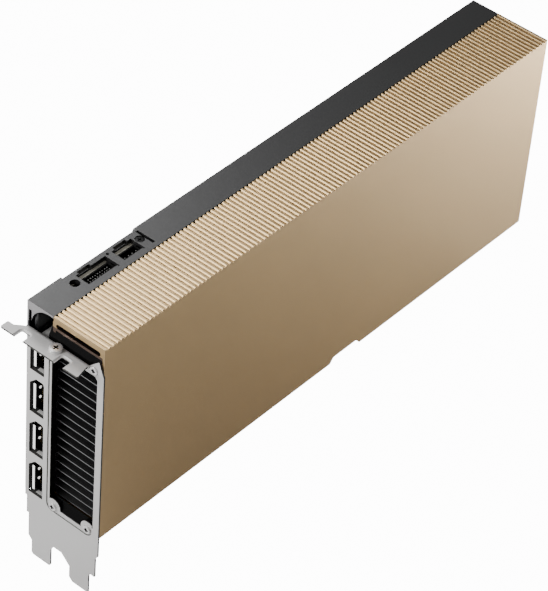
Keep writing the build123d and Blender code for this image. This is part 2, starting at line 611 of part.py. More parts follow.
# Front duct: frame behind the bracket's window, with a ramp at the foot and a sloped top
DUCT_LEFT_Y = -7.0
DUCT_TOP_Z = 102.7
DUCT_POST = 2.0
DUCT_PAD_RIM = 0.4
with BuildPart() as front_duct:
    with BuildSketch(Plane.XZ.offset(-DUCT_LEFT_Y)):
        with BuildLine():
            Polyline(
                (FRONT_X, FLOOR_INNER_Z),
                (FRONT_X, WINDOW_BOTTOM_Z - 0.3),
                (DUCT_BACK_X, FIN_FIRST_Z - 1.0),
                (DUCT_BACK_X, FLOOR_INNER_Z),
                close=True,
            )
        make_face()
        with BuildLine():
            Polyline(
                (FRONT_X, WINDOW_TOP_Z + 0.3),
                (FRONT_X, FLANGE_TOP_Z + 0.4),
                (DUCT_BACK_X, DUCT_TOP_Z),
                (DUCT_BACK_X, WINDOW_TOP_Z + 0.3),
                close=True,
            )
        make_face()
    extrude(amount=DUCT_LEFT_Y - SIDE_INNER_Y)
    depth = (FRONT_X, DUCT_BACK_X)
    block(depth, (DUCT_LEFT_Y - DUCT_POST, DUCT_LEFT_Y), (FLOOR_INNER_Z, WINDOW_TOP_Z + 0.5))
    block(depth, (SIDE_INNER_Y, WINDOW_RIGHT_Y - 0.2), (FLOOR_INNER_Z, WINDOW_TOP_Z + 0.5))
    pad = SCREW_HEAD_R + DUCT_PAD_RIM
    for y, z in BRACKET_SCREWS:
        block(depth, (y - pad, y + pad), (z - pad, z + pad))
    for centre in BRACKET_SCREWS:
        hidden_hole(Plane.YZ.offset(FRONT_X), centre, DUCT_BACK_X - FRONT_X, SCREW_SHANK_R)
    block((0, 5), (-40, 0), (0, FLOOR_INNER_Z), Mode.SUBTRACT)
front_duct.part.label = "front_duct"
export_step(front_duct.part, "parts/front_duct.step")

# Rear frame: end wall with the air intake, the power opening and two threaded bosses
with BuildPart() as rear_frame:
    with BuildSketch(Plane.YZ.offset(REAR_X)):
        with BuildLine():
            Polyline(
                (BACKPLATE_INNER_Y, FLOOR_INNER_Z),
                (BACKPLATE_INNER_Y, RAIL_INNER_Z),
                (SPLIT_Y + LEDGE_T, RAIL_INNER_Z),
                (SPLIT_Y + LEDGE_T, LEDGE_INNER_Z),
                (LEDGE_Y, LEDGE_INNER_Z),
                (LEDGE_Y, ROOF_INNER_Z),
                (SIDE_INNER_Y, ROOF_INNER_Z),
                (SIDE_INNER_Y, FLOOR_INNER_Z),
                close=True,
            )
        make_face()
        intake_middle = ((INTAKE_Y[0] + INTAKE_Y[1]) / 2, (INTAKE_Z[0] + INTAKE_Z[1]) / 2)
        with Locations(intake_middle):
            RectangleRounded(INTAKE_Y[0] - INTAKE_Y[1], INTAKE_Z[1] - INTAKE_Z[0], 2.0, mode=Mode.SUBTRACT)
    extrude(amount=-REAR_FRAME_T)
    inside_x = (REAR_X - REAR_FRAME_T, REAR_X - REAR_WALL)
    block(inside_x, (-9.0, 2.0), (FLOOR_INNER_Z + 1.6, HEADER_Z - HEADER_SIZE[2] / 2 - 1.4), Mode.SUBTRACT)
    for y, z in REAR_HOLES:
        rod_x(y, z, (REAR_X - REAR_FRAME_T, REAR_X), REAR_BOSS_R)
        rod_x(y, z, (REAR_X - REAR_HOLE_DEPTH, REAR_X), REAR_HOLE_R, Mode.SUBTRACT)
    half = HEADER_SIZE[2] / 2 + 0.2
    thickness = (REAR_X - REAR_FRAME_T, REAR_X)
    header_y = (-HEADER_SIZE[1] - HEADER_LATCH - 0.2, 0.2)
    block(thickness, header_y, (HEADER_Z - half, HEADER_Z + half), Mode.SUBTRACT)
rear_frame.part.label = "rear_frame"
export_step(rear_frame.part, "parts/rear_frame.step")

# Board: outline with the card edge and latch hook, socket cut-outs and screw holes
EDGE_LONG_X = EDGE_START_X + EDGE_SHORT + EDGE_KEY
EDGE_END_X = EDGE_LONG_X + EDGE_LONG
HOOK_X = EDGE_END_X + 3.2
with BuildPart() as pcb:
    with BuildSketch(Plane.XZ.offset(-BOARD_T)):
        with BuildLine():
            Polyline(
                (BOARD_FRONT_X, BOARD_BOTTOM_Z),
                (BOARD_FRONT_X, BOARD_TOP_Z),
                (BOARD_REAR_X, BOARD_TOP_Z),
                (BOARD_REAR_X, BOARD_BOTTOM_Z),
                (HOOK_X + 12.5, BOARD_BOTTOM_Z),
                (HOOK_X + 12.5, 2.2),
                (HOOK_X + 11.0, 0.8),
                (HOOK_X + 6.2, 0.8),
                (HOOK_X + 6.2, 3.4),
                (HOOK_X + 8.4, 3.4),
                (HOOK_X + 8.4, BOARD_BOTTOM_Z),
                (EDGE_END_X, BOARD_BOTTOM_Z),
                (EDGE_END_X, 0.6),
                (EDGE_END_X - 0.6, 0),
                (EDGE_LONG_X + 0.6, 0),
                (EDGE_LONG_X, 0.6),
                (EDGE_LONG_X, BOARD_BOTTOM_Z),
                (EDGE_LONG_X - EDGE_KEY, BOARD_BOTTOM_Z),
                (EDGE_LONG_X - EDGE_KEY, 0.6),
                (EDGE_LONG_X - EDGE_KEY - 0.6, 0),
                (EDGE_START_X + 0.6, 0),
                (EDGE_START_X, 0.6),
                (EDGE_START_X, BOARD_BOTTOM_Z),
                close=True,
            )
        make_face()
        for z in PORTS_Z:
            notch_length = SHELL_FRONT_X + SHELL_DEPTH + 0.2 - BOARD_FRONT_X
            with Locations((BOARD_FRONT_X + notch_length / 2, z)):
                Rectangle(notch_length, SHELL_SIZE[1] + 0.4, mode=Mode.SUBTRACT)
    extrude(amount=BOARD_T)
    for centre in BACK_SCREWS:
        hidden_hole(Plane.XZ.offset(-BOARD_T), centre, BOARD_T, BACK_SCREW_R + CLEAR)
    for centre in HEATSINK_SCREWS:
        hidden_hole(Plane.XZ.offset(-BOARD_T), centre, BOARD_T, HEATSINK_SHANK_R + CLEAR)
pcb.part.label = "pcb"
export_step(pcb.part, "parts/pcb.step")

# Display sockets: four shells with solder feet, and four plastic inserts with a tongue
for n, z in enumerate(PORTS_Z, start=1):
    half_y = SHELL_SIZE[0] / 2
    half_z = SHELL_SIZE[1] / 2
    corner = PORT_CHAMFER - 0.3
    with BuildPart() as port_shell:
        with BuildSketch(Plane.YZ.offset(SHELL_FRONT_X)) as shell_outline:
            with Locations((PORT_CENTRE_Y, z)):
                Polygon(
                    (-half_y, -half_z),
                    (half_y, -half_z),
                    (half_y, half_z - corner),
                    (half_y - corner, half_z),
                    (-half_y, half_z),
                    align=None,
                )
            offset(amount=-SHELL_T, kind=Kind.INTERSECTION, mode=Mode.SUBTRACT)
        extrude(amount=SHELL_DEPTH)
        for side in (-1, 1):
            reach = SHELL_T if side < 0 else SHELL_T + FOOT_REACH
            tab_z = (z + side * (half_z - reach), z + side * (half_z + SHELL_TAB))
            for x in (5.0, 12.0):
                block((x, x + 2.6), (-0.5, 0), tab_z)
    port_shell.part.label = f"port_shell_{n}"
    export_step(port_shell.part, f"parts/port_shell_{n}.step")
    back_x = SHELL_FRONT_X + SHELL_DEPTH
    with BuildPart() as port_insert:
        with BuildSketch(Plane.YZ.offset(back_x)):
            with Locations((PORT_CENTRE_Y, z)):
                Polygon(
                    (-half_y, -half_z),
                    (half_y, -half_z),
                    (half_y, half_z - corner),
                    (half_y - corner, half_z),
                    (-half_y, half_z),
                    align=None,
                )
            offset(amount=-SHELL_T, kind=Kind.INTERSECTION, mode=Mode.REPLACE)
        extrude(amount=-INSERT_T)
        with BuildSketch(Plane.YZ.offset(back_x - INSERT_T)):
            with Locations((PORT_CENTRE_Y, z)):
                Polygon(
                    (-half_y, -half_z),
                    (half_y, -half_z),
                    (half_y, half_z - corner),
                    (half_y - corner, half_z),
                    (-half_y, half_z),
                    align=None,
                )
            offset(amount=-SHELL_T, kind=Kind.INTERSECTION, mode=Mode.REPLACE)
            offset(amount=-INSERT_WALL, kind=Kind.INTERSECTION, mode=Mode.SUBTRACT)
        front_x = SHELL_FRONT_X + INSERT_SETBACK
        extrude(amount=front_x + INSERT_T - back_x)
        floor_z = z - half_z + SHELL_T
        inner_y = (PORT_CENTRE_Y - half_y, PORT_CENTRE_Y + half_y)
        block((front_x, front_x + BARE_FLOOR), inner_y, (floor_z, floor_z + INSERT_WALL), Mode.SUBTRACT)
        middle_z = z - TONGUE_DROP
        tongue_z = (middle_z - TONGUE_LENGTH / 2, middle_z + TONGUE_LENGTH / 2)
        block((TONGUE_FRONT_X, back_x), TONGUE_Y, tongue_z)
    port_insert.part.label = f"port_insert_{n}"
    export_step(port_insert.part, f"parts/port_insert_{n}.step")

# Heatsink base: plate, raised platform over the processor and memory, screw posts
with BuildPart() as heatsink_base:
    block((BASE_START_X, BASE_END_X), (BASE_BACK_Y, BASE_FACE_Y), (BASE_BOTTOM_Z, BASE_TOP_Z))
    platform_x = (GPU_X - PLATFORM[0] / 2, GPU_X + PLATFORM[0] / 2)
    platform_z = (GPU_Z - PLATFORM[1] / 2, GPU_Z + PLATFORM[1] / 2)
    block(platform_x, (BASE_FACE_Y, PAD_FACE_Y), platform_z)
    for x, z in HEATSINK_SCREWS:
        rod_y(x, z, (BASE_FACE_Y, 0), POST_R)
        hidden_hole(Plane.XZ, (x, z), POST_BORE, HEATSINK_SHANK_R)
heatsink_base.part.label = "heatsink_base"
export_step(heatsink_base.part, "parts/heatsink_base.step")

# Fin stack: thin plates square to Z on a foot sheet, cut back round the power header
FIN_TOP_Z = FIN_FIRST_Z + (FIN_COUNT - 1) * FIN_PITCH
FOOT_Y = BASE_BACK_Y - FIN_FOOT_T
with BuildPart() as fin_stack:
    with BuildSketch(Plane.YZ.offset(FIN_START_X)):
        with Locations(((BASE_BACK_Y + FOOT_Y) / 2, (FIN_FIRST_Z + FIN_TOP_Z) / 2)):
            Rectangle(FIN_FOOT_T, FIN_TOP_Z - FIN_FIRST_Z + FIN_T)
        for n in range(FIN_COUNT):
            with Locations(((FOOT_Y + FIN_TIP_Y) / 2, FIN_FIRST_Z + n * FIN_PITCH)):
                Rectangle(FOOT_Y - FIN_TIP_Y + 0.1, FIN_T)
    extrude(amount=FIN_END_X - FIN_START_X)
    round_header = (HEADER_Z - HEADER_SIZE[2] / 2 - 1.0, FIN_TOP_Z + 1.0)
    header_y = (-HEADER_SIZE[1] - HEADER_LATCH - 1.0, BASE_BACK_Y)
    block((BASE_END_X, FIN_END_X), header_y, round_header, Mode.SUBTRACT)
fin_stack.part.label = "fin_stack"
export_step(fin_stack.part, "parts/fin_stack.step")

# Processor: substrate, stiffening ring and die
with BuildPart() as gpu_substrate:
    block(
        (GPU_X - GPU_SIZE / 2, GPU_X + GPU_SIZE / 2),
        (-CHIP_T, 0),
        (GPU_Z - GPU_SIZE / 2, GPU_Z + GPU_SIZE / 2),
    )
gpu_substrate.part.label = "gpu_substrate"
export_step(gpu_substrate.part, "parts/gpu_substrate.step")

with BuildPart() as gpu_stiffener:
    with BuildSketch(Plane.XZ.offset(CHIP_T)):
        with Locations((GPU_X, GPU_Z)):
            Rectangle(GPU_SIZE - 1, GPU_SIZE - 1)
            inner_side = GPU_SIZE - 1 - 2 * STIFFENER_WIDTH
            Rectangle(inner_side, inner_side, mode=Mode.SUBTRACT)
    extrude(amount=STIFFENER_T)
gpu_stiffener.part.label = "gpu_stiffener"
export_step(gpu_stiffener.part, "parts/gpu_stiffener.step")

with BuildPart() as gpu_die:
    block(
        (GPU_X - DIE_SIZE[0] / 2, GPU_X + DIE_SIZE[0] / 2),
        (PAD_FACE_Y, -CHIP_T),
        (GPU_Z - DIE_SIZE[1] / 2, GPU_Z + DIE_SIZE[1] / 2),
    )
gpu_die.part.label = "gpu_die"
export_step(gpu_die.part, "parts/gpu_die.step")

# Memory chips in two columns, each column under one thermal pad
MEMORY_HEIGHT = (MEMORY_ROWS - 1) * MEMORY_PITCH
for column, side in enumerate((-1, 1)):
    x = GPU_X + side * MEMORY_OFFSET
    span_x = (x - MEMORY_SIZE[0] / 2, x + MEMORY_SIZE[0] / 2)
    for row in range(MEMORY_ROWS):
        z = GPU_Z - MEMORY_HEIGHT / 2 + row * MEMORY_PITCH
        with BuildPart() as memory_chip:
            block(span_x, (-CHIP_T, 0), (z - MEMORY_SIZE[1] / 2, z + MEMORY_SIZE[1] / 2))
        number = column * MEMORY_ROWS + row + 1
        memory_chip.part.label = f"memory_chip_{number}"
        export_step(memory_chip.part, f"parts/memory_chip_{number}.step")
    pad_half = (MEMORY_HEIGHT + MEMORY_SIZE[1]) / 2
    with BuildPart() as memory_pad:
        block(span_x, (PAD_FACE_Y, -CHIP_T), (GPU_Z - pad_half, GPU_Z + pad_half))
    memory_pad.part.label = f"memory_pad_{column + 1}"
    export_step(memory_pad.part, f"parts/memory_pad_{column + 1}.step")

# Inductors of the power stages under one thermal pad
INDUCTOR_HEIGHT = (INDUCTOR_COUNT - 1) * INDUCTOR_PITCH
for n in range(INDUCTOR_COUNT):
    z = GPU_Z - INDUCTOR_HEIGHT / 2 + n * INDUCTOR_PITCH
    with BuildPart() as inductor:
        block(
            (INDUCTOR_X - INDUCTOR_SIZE / 2, INDUCTOR_X + INDUCTOR_SIZE / 2),
            (-INDUCTOR_T, 0),
            (z - INDUCTOR_SIZE / 2, z + INDUCTOR_SIZE / 2),
        )
        chamfer(inductor.edges().filter_by(Axis.Y), length=0.6)
    inductor.part.label = f"inductor_{n + 1}"
    export_step(inductor.part, f"parts/inductor_{n + 1}.step")

with BuildPart() as inductor_pad:
    pad_half = (INDUCTOR_HEIGHT + INDUCTOR_SIZE) / 2
    block(
        (INDUCTOR_X - INDUCTOR_SIZE / 2, INDUCTOR_X + INDUCTOR_SIZE / 2),
        (BASE_FACE_Y, -INDUCTOR_T),
        (GPU_Z - pad_half, GPU_Z + pad_half),
    )
inductor_pad.part.label = "inductor_pad"
export_step(inductor_pad.part, "parts/inductor_pad.step")

# Power header: housing with eight cells open to the rear, and eight bent pins
HEADER_ROWS_Y = (-HEADER_SIZE[1] / 2 + HEADER_PITCH / 2, -HEADER_SIZE[1] / 2 - HEADER_PITCH / 2)
HEADER_COLUMNS_Z = [HEADER_Z + (n - 1.5) * HEADER_PITCH for n in range(4)]
with BuildPart() as power_header:
    half = HEADER_SIZE[2] / 2
    block((HEADER_FRONT_X, HEADER_REAR_X), (-HEADER_SIZE[1], 0), (HEADER_Z - half, HEADER_Z + half))
    latch_x = (HEADER_REAR_X - 8.0, HEADER_REAR_X - 5.5)
    latch_y = (-HEADER_SIZE[1] - HEADER_LATCH, -HEADER_SIZE[1])
    block(latch_x, latch_y, (HEADER_Z - 2.0, HEADER_Z + 2.0))
    for y in HEADER_ROWS_Y:
        for z in HEADER_COLUMNS_Z:
            with Locations((HEADER_REAR_X - HEADER_DEPTH / 2, y, z)):
                Box(HEADER_DEPTH, HEADER_CELL, HEADER_CELL, mode=Mode.SUBTRACT)
            with Locations((HEADER_FRONT_X + HEADER_SIZE[0] / 2, y, z)):
                Box(HEADER_SIZE[0], HEADER_PIN, HEADER_PIN, mode=Mode.SUBTRACT)
power_header.part.label = "power_header"
export_step(power_header.part, "parts/power_header.step")

with BuildPart() as power_pins:
    half = HEADER_PIN / 2
    for row, y in enumerate(HEADER_ROWS_Y):
        leg_x = HEADER_FRONT_X - 0.2 - row * 1.3
        for z in HEADER_COLUMNS_Z:
            block((leg_x - HEADER_PIN, HEADER_REAR_X - 2.0), (y - half, y + half), (z - half, z + half))
            block((leg_x - HEADER_PIN, leg_x), (y - half, 0), (z - half, z + half))
power_pins.part.label = "power_pins"
export_step(power_pins.part, "parts/power_pins.step")

# Top connectors: a housing with a foot on the board, and a row or two of bent pins
def housing(window, pins_x, rows_y):
    """An open-topped housing under one window, pierced by its pins."""
    span_x = (window[0] + HOUSING_GAP, window[1] - WINDOW_SLIT - HOUSING_GAP)
    front_y = WINDOW_FRONT_Y + HOUSING_GAP
    bottom_z = HOUSING_TOP_Z - HOUSING_HEIGHT
    with BuildPart() as body:
        block(span_x, (front_y, HOUSING_BACK_Y), (bottom_z, HOUSING_TOP_Z))
        block(span_x, (HOUSING_BACK_Y, 0), (bottom_z, bottom_z + HOUSING_FOOT))
        hollow_x = (span_x[0] + HOUSING_WALL, span_x[1] - HOUSING_WALL)
        hollow_y = (front_y + HOUSING_WALL, HOUSING_BACK_Y - HOUSING_WALL)
        block(hollow_x, hollow_y, (bottom_z + HOUSING_FLOOR, HOUSING_TOP_Z), Mode.SUBTRACT)
        for y in rows_y:
            for x in pins_x:
                with Locations((x, y, bottom_z)):
                    Box(PIN_SIZE, PIN_SIZE, 2 * HOUSING_FLOOR, mode=Mode.SUBTRACT)
    return body


def bent_pins(pins_x, rows_y, tip_z):
    """Pins that leave the housing's floor and turn back to the board."""
    half = PIN_SIZE / 2
    bottom_z = HOUSING_TOP_Z - HOUSING_HEIGHT
    with BuildPart() as pins:
        for row, y in enumerate(rows_y):
            leg_z = bottom_z - 0.2 - row * 0.7
            for x in pins_x:
                block((x - half, x + half), (y - half, y + half), (leg_z - PIN_SIZE, tip_z))
                block((x - half, x + half), (y + half, 0), (leg_z - PIN_SIZE, leg_z))
    return pins


SYNC_X = [SYNC_FIRST_X + n * SYNC_PIN_PITCH for n in range(SYNC_PINS)]
AUX_X = [AUX_FIRST_X + n * AUX_PIN_PITCH for n in range(AUX_PINS)]
PIN_TIP_Z = HOUSING_TOP_Z - 0.6

sync_connector = housing(SYNC_WINDOW, SYNC_X, SYNC_ROWS_Y)
sync_connector.part.label = "sync_connector"
export_step(sync_connector.part, "parts/sync_connector.step")

sync_pins = bent_pins(SYNC_X, SYNC_ROWS_Y, PIN_TIP_Z)
sync_pins.part.label = "sync_pins"
export_step(sync_pins.part, "parts/sync_pins.step")

aux_connector = housing(AUX_WINDOW, AUX_X, (AUX_ROW_Y,))
aux_connector.part.label = "aux_connector"
export_step(aux_connector.part, "parts/aux_connector.step")

aux_pins = bent_pins(AUX_X, (AUX_ROW_Y,), PIN_TIP_Z)
aux_pins.part.label = "aux_pins"
export_step(aux_pins.part, "parts/aux_pins.step")

# Clip that ties the top rail to the board, and its screw
CLIP_T = 3.4
with BuildPart() as frame_clip:
    block((53.0, 57.0), (-CLIP_T, 0), (RAIL_INNER_Z - 5.0, RAIL_INNER_Z))
    block((53.0, 57.0), (-0.8, 0), (RAIL_INNER_Z - 8.0, RAIL_INNER_Z))
    hidden_hole(Plane.XY.offset(RAIL_INNER_Z - 4.0), TOP_SCREW, 4.0, SCREW_SHANK_R)
frame_clip.part.label = "frame_clip"
export_step(frame_clip.part, "parts/frame_clip.step")

TOP_SEAT_Z = TOP_Z - SCREW_HEAD_T - 0.3
with BuildPart() as top_screw:
    rod_z(TOP_SCREW[0], TOP_SCREW[1], (TOP_SEAT_Z, TOP_SEAT_Z + SCREW_HEAD_T), SCREW_HEAD_R)
    rod_z(TOP_SCREW[0], TOP_SCREW[1], (RAIL_INNER_Z - 3.6, TOP_SEAT_Z), SCREW_SHANK_R)
top_screw.part.label = "top_screw"
export_step(top_screw.part, "parts/top_screw.step")

# Countersunk screws of the backplate
with BuildPart() as backplate_screws:
    for x, z in BACK_SCREWS:
        reach = RAIL_BAR_T - 1.0 if z > GPU_Z else BOSS_LENGTH - 1.4
        rod_y(x, z, (-reach, BACKPLATE_INNER_Y), BACK_SCREW_R)
        flat_head(x, z)
backplate_screws.part.label = "backplate_screws"
export_step(backplate_screws.part, "parts/backplate_screws.step")

# Screws that pull the heatsink onto the processor from behind the board
with BuildPart() as heatsink_screws:
    for x, z in HEATSINK_SCREWS:
        rod_y(x, z, (-HEATSINK_SHANK_END, BOARD_T), HEATSINK_SHANK_R)
        rod_y(x, z, (BOARD_T, BOARD_T + HEATSINK_HEAD_T), HEATSINK_HEAD_R)
heatsink_screws.part.label = "heatsink_screws"
export_step(heatsink_screws.part, "parts/heatsink_screws.step")
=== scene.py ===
import math

import bmesh
import bpy
from mathutils import Matrix, Vector


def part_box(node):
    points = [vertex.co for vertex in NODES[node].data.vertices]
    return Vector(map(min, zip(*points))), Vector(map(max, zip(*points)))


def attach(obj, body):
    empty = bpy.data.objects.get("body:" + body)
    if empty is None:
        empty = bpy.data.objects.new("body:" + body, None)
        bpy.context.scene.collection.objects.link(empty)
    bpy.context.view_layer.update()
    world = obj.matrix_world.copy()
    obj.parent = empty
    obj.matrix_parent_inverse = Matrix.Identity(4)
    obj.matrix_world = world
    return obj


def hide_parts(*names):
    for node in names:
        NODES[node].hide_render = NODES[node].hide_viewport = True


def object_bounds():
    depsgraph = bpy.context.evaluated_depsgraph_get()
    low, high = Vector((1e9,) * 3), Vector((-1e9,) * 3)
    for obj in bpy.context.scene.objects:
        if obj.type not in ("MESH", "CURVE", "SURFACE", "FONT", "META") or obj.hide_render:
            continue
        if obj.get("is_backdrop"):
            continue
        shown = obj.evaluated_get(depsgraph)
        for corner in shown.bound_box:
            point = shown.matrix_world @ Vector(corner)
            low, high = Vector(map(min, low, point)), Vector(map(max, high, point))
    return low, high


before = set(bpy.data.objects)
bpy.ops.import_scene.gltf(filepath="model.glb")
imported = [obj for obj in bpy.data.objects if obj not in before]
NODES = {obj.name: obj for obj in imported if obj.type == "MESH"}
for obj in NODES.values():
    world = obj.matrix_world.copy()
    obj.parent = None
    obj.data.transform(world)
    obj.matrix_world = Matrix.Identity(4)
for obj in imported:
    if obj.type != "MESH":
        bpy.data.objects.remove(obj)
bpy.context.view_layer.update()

bl_info = {
    "name": "Passive accelerator card",
    "version": (1, 0, 0),
    "blender": (4, 5, 0),
    "location": "View3D > Sidebar > Card",
    "description": "Dresses the packed card with materials and small detail, and sets the stage",
    "category": "Object",
}

FINISH = "finish_"


# Sizes and colours that a user would change

class CardSizes(bpy.types.PropertyGroup):
    """Sizes of the pieces that are added to the card"""

    drive_depth: bpy.props.FloatProperty(
        name="Drive depth", description="Depth of a screw's cross recess as a share of its head",
        default=0.55, min=0.1, max=0.9, subtype="FACTOR")
    edge_pitch: bpy.props.FloatProperty(
        name="Edge contact pitch", description="Distance between two contacts of the card edge",
        default=0.001, unit="LENGTH", precision=5)
    edge_contact: bpy.props.FloatVectorProperty(
        name="Edge contact", description="Width, height and thickness of one card-edge contact",
        default=(0.0007, 0.0042, 0.00004), unit="LENGTH", precision=5)
    tongue_cap: bpy.props.FloatProperty(
        name="Tongue cap", description="Depth of the pale cap on a display socket's tongue",
        default=0.00025, unit="LENGTH", precision=5)
    tongue_contact: bpy.props.FloatVectorProperty(
        name="Tongue contact", description="Length, height and pitch of a contact on a tongue",
        default=(0.0032, 0.00008, 0.0011), unit="LENGTH", precision=5)
    spring_start: bpy.props.FloatProperty(
        name="Spring start", description="How far behind the bracket's face a shell's spring strip starts",
        default=0.0009, unit="LENGTH", precision=5)
    shell_spring: bpy.props.FloatVectorProperty(
        name="Shell spring",
        description="Length and thickness of a shell's spring strip, and its reach past the shell's back",
        default=(0.003, 0.00034, 0.0009), unit="LENGTH", precision=5)


class CardColours(bpy.types.PropertyGroup):
    """Colours of the card's finishes"""

    gold: bpy.props.FloatVectorProperty(
        name="Gold", description="Anodised cover", default=(0.50, 0.350, 0.178),
        subtype="COLOR", min=0, max=1)
    dark: bpy.props.FloatVectorProperty(
        name="Dark rail", description="Coated rail and backplate", default=(0.010, 0.010, 0.0105),
        subtype="COLOR", min=0, max=1)
    nickel: bpy.props.FloatVectorProperty(
        name="Nickel", description="Plated bracket", default=(0.68, 0.67, 0.66),
        subtype="COLOR", min=0, max=1)
    fin: bpy.props.FloatVectorProperty(
        name="Fins", description="Fins and base of the heatsink", default=(0.26, 0.26, 0.265),
        subtype="COLOR", min=0, max=1)
    black: bpy.props.FloatVectorProperty(
        name="Black plastic", description="Moulded pieces", default=(0.003, 0.003, 0.003),
        subtype="COLOR", min=0, max=1)
    board: bpy.props.FloatVectorProperty(
        name="Board", description="Solder mask", default=(0.008, 0.008, 0.009),
        subtype="COLOR", min=0, max=1)
    laminate: bpy.props.FloatVectorProperty(
        name="Board edge", description="Bare laminate at the board's routed edge",
        default=(0.95, 0.91, 0.76), subtype="COLOR", min=0, max=1)
    contact: bpy.props.FloatVectorProperty(
        name="Contacts", description="Plated contacts and pins", default=(0.78, 0.56, 0.24),
        subtype="COLOR", min=0, max=1)


class CardStage(bpy.types.PropertyGroup):
    """Light and camera of the stage"""

    key_power: bpy.props.FloatProperty(
        name="Key light", description="Power of the softbox behind the card's front end",
        default=1.65, min=0)
    side_power: bpy.props.FloatProperty(
        name="Side light", description="Power of the low softbox beyond the rear end, over the floor",
        default=4.4, min=0)
    front_power: bpy.props.FloatProperty(
        name="Front light", description="Power of the softbox before the bracket",
        default=1.6, min=0)
    sky: bpy.props.FloatProperty(
        name="Sky", description="Strength of the even light all round", default=0.27, min=0)
    backdrop: bpy.props.FloatProperty(
        name="Backdrop", description="How bright the camera sees the floor and the sky",
        default=16.0, min=0)
    lens: bpy.props.FloatProperty(
        name="Lens", description="Focal length of the camera in millimetres", default=177.5, min=1)


# What all finishes share

NOISE_RANGE = (0.3, 0.7)  # the values that a noise mostly keeps to
GLOSS_SWING = 0.07  # how far roughness follows the slow tone
EDGE_GAIN = 6.0  # strength of the edge mask
EDGE_BREAK_UP = 0.7  # share of the edge mask that noise can take away
BREAK_UP_SCALE = 260.0  # scale of that noise
# Edges are lightened both by rubbing and as a painted highlight.
WORN_AND_LIT_LIGHTER = 1.7  # how much lighter a worn edge is, where its colour isn't given
GRAIN_DEPTH = 0.0001  # height of the grain in metres
COAT_ROUGHNESS = 0.25

# Where the tongue of a display socket lies, in metres

TONGUE_FACE = -0.00127  # Y of the face with the contacts
TONGUE_DROP = 0.00043  # how far the tongue's middle lies below the socket's

# The square lights: name, place, the point that each faces, and the length of a side

LIGHTS = (
    ("key", (0.32, 0.41, 0.60), (0.0, 0.0, 0.108), 0.22),
    ("side", (0.56, -0.20, 0.12), (0.55, -0.19, -0.02), 0.13),
    ("front", (-0.26, 0.16, 0.25), (-0.14, 0.08, 0.0), 0.2),
)

# The camera's place, and what lies to its right, below it and ahead of it

CAMERA_PLACE = (-0.57214976, -0.54885600, 0.82075420)
CAMERA_RIGHT = (0.652226, -0.755248, 0.064817)
CAMERA_DOWN = (-0.470909, -0.470706, -0.746110)
CAMERA_AHEAD = (0.594008, 0.456110, -0.662660)


# Shader groups that several finishes share

def new_group(name, inputs, outputs):
    """An empty shader group with these named inputs and outputs."""
    tree = bpy.data.node_groups.new(name, "ShaderNodeTree")
    for label, kind, value in inputs:
        socket = tree.interface.new_socket(name=label, in_out="INPUT", socket_type=kind)
        socket.default_value = value
    for label, kind in outputs:
        tree.interface.new_socket(name=label, in_out="OUTPUT", socket_type=kind)
    return tree, tree.nodes.new("NodeGroupInput"), tree.nodes.new("NodeGroupOutput")


def math_node(tree, operation, first, second=None, clamp=False):
    """A Math node fed by sockets or numbers."""
    node = tree.nodes.new("ShaderNodeMath")
    node.operation = operation
    node.use_clamp = clamp
    for index, source in enumerate((first, second)):
        if source is None:
            continue
        if isinstance(source, (int, float)):
            node.inputs[index].default_value = source
        else:
            tree.links.new(source, node.inputs[index])
    return node.outputs[0]


def grain_group():
    """Fine grain for a bump, and a slow tone that drifts over the surface."""
    if "metal_grain" in bpy.data.node_groups:
        return bpy.data.node_groups["metal_grain"]
    tree, start, end = new_group(
        "metal_grain",
        [("Grain Scale", "NodeSocketFloat", 5000.0), ("Stretch", "NodeSocketVector", (1, 1, 1)),
         ("Drift Scale", "NodeSocketFloat", 18.0)],
        [("Height", "NodeSocketFloat"), ("Tone", "NodeSocketFloat")])
    place = tree.nodes.new("ShaderNodeTexCoord")
    stretch = tree.nodes.new("ShaderNodeVectorMath")
    stretch.operation = "MULTIPLY"
    tree.links.new(place.outputs["Object"], stretch.inputs[0])
    tree.links.new(start.outputs["Stretch"], stretch.inputs[1])
    fine = tree.nodes.new("ShaderNodeTexNoise")
    fine.inputs["Detail"].default_value = 2.0
    tree.links.new(stretch.outputs[0], fine.inputs["Vector"])
    tree.links.new(start.outputs["Grain Scale"], fine.inputs["Scale"])
    slow = tree.nodes.new("ShaderNodeTexNoise")
    slow.inputs["Detail"].default_value = 3.0
    tree.links.new(place.outputs["Object"], slow.inputs["Vector"])
    tree.links.new(start.outputs["Drift Scale"], slow.inputs["Scale"])
    tree.links.new(fine.outputs["Fac"], end.inputs["Height"])
    tree.links.new(slow.outputs["Fac"], end.inputs["Tone"])
    return tree


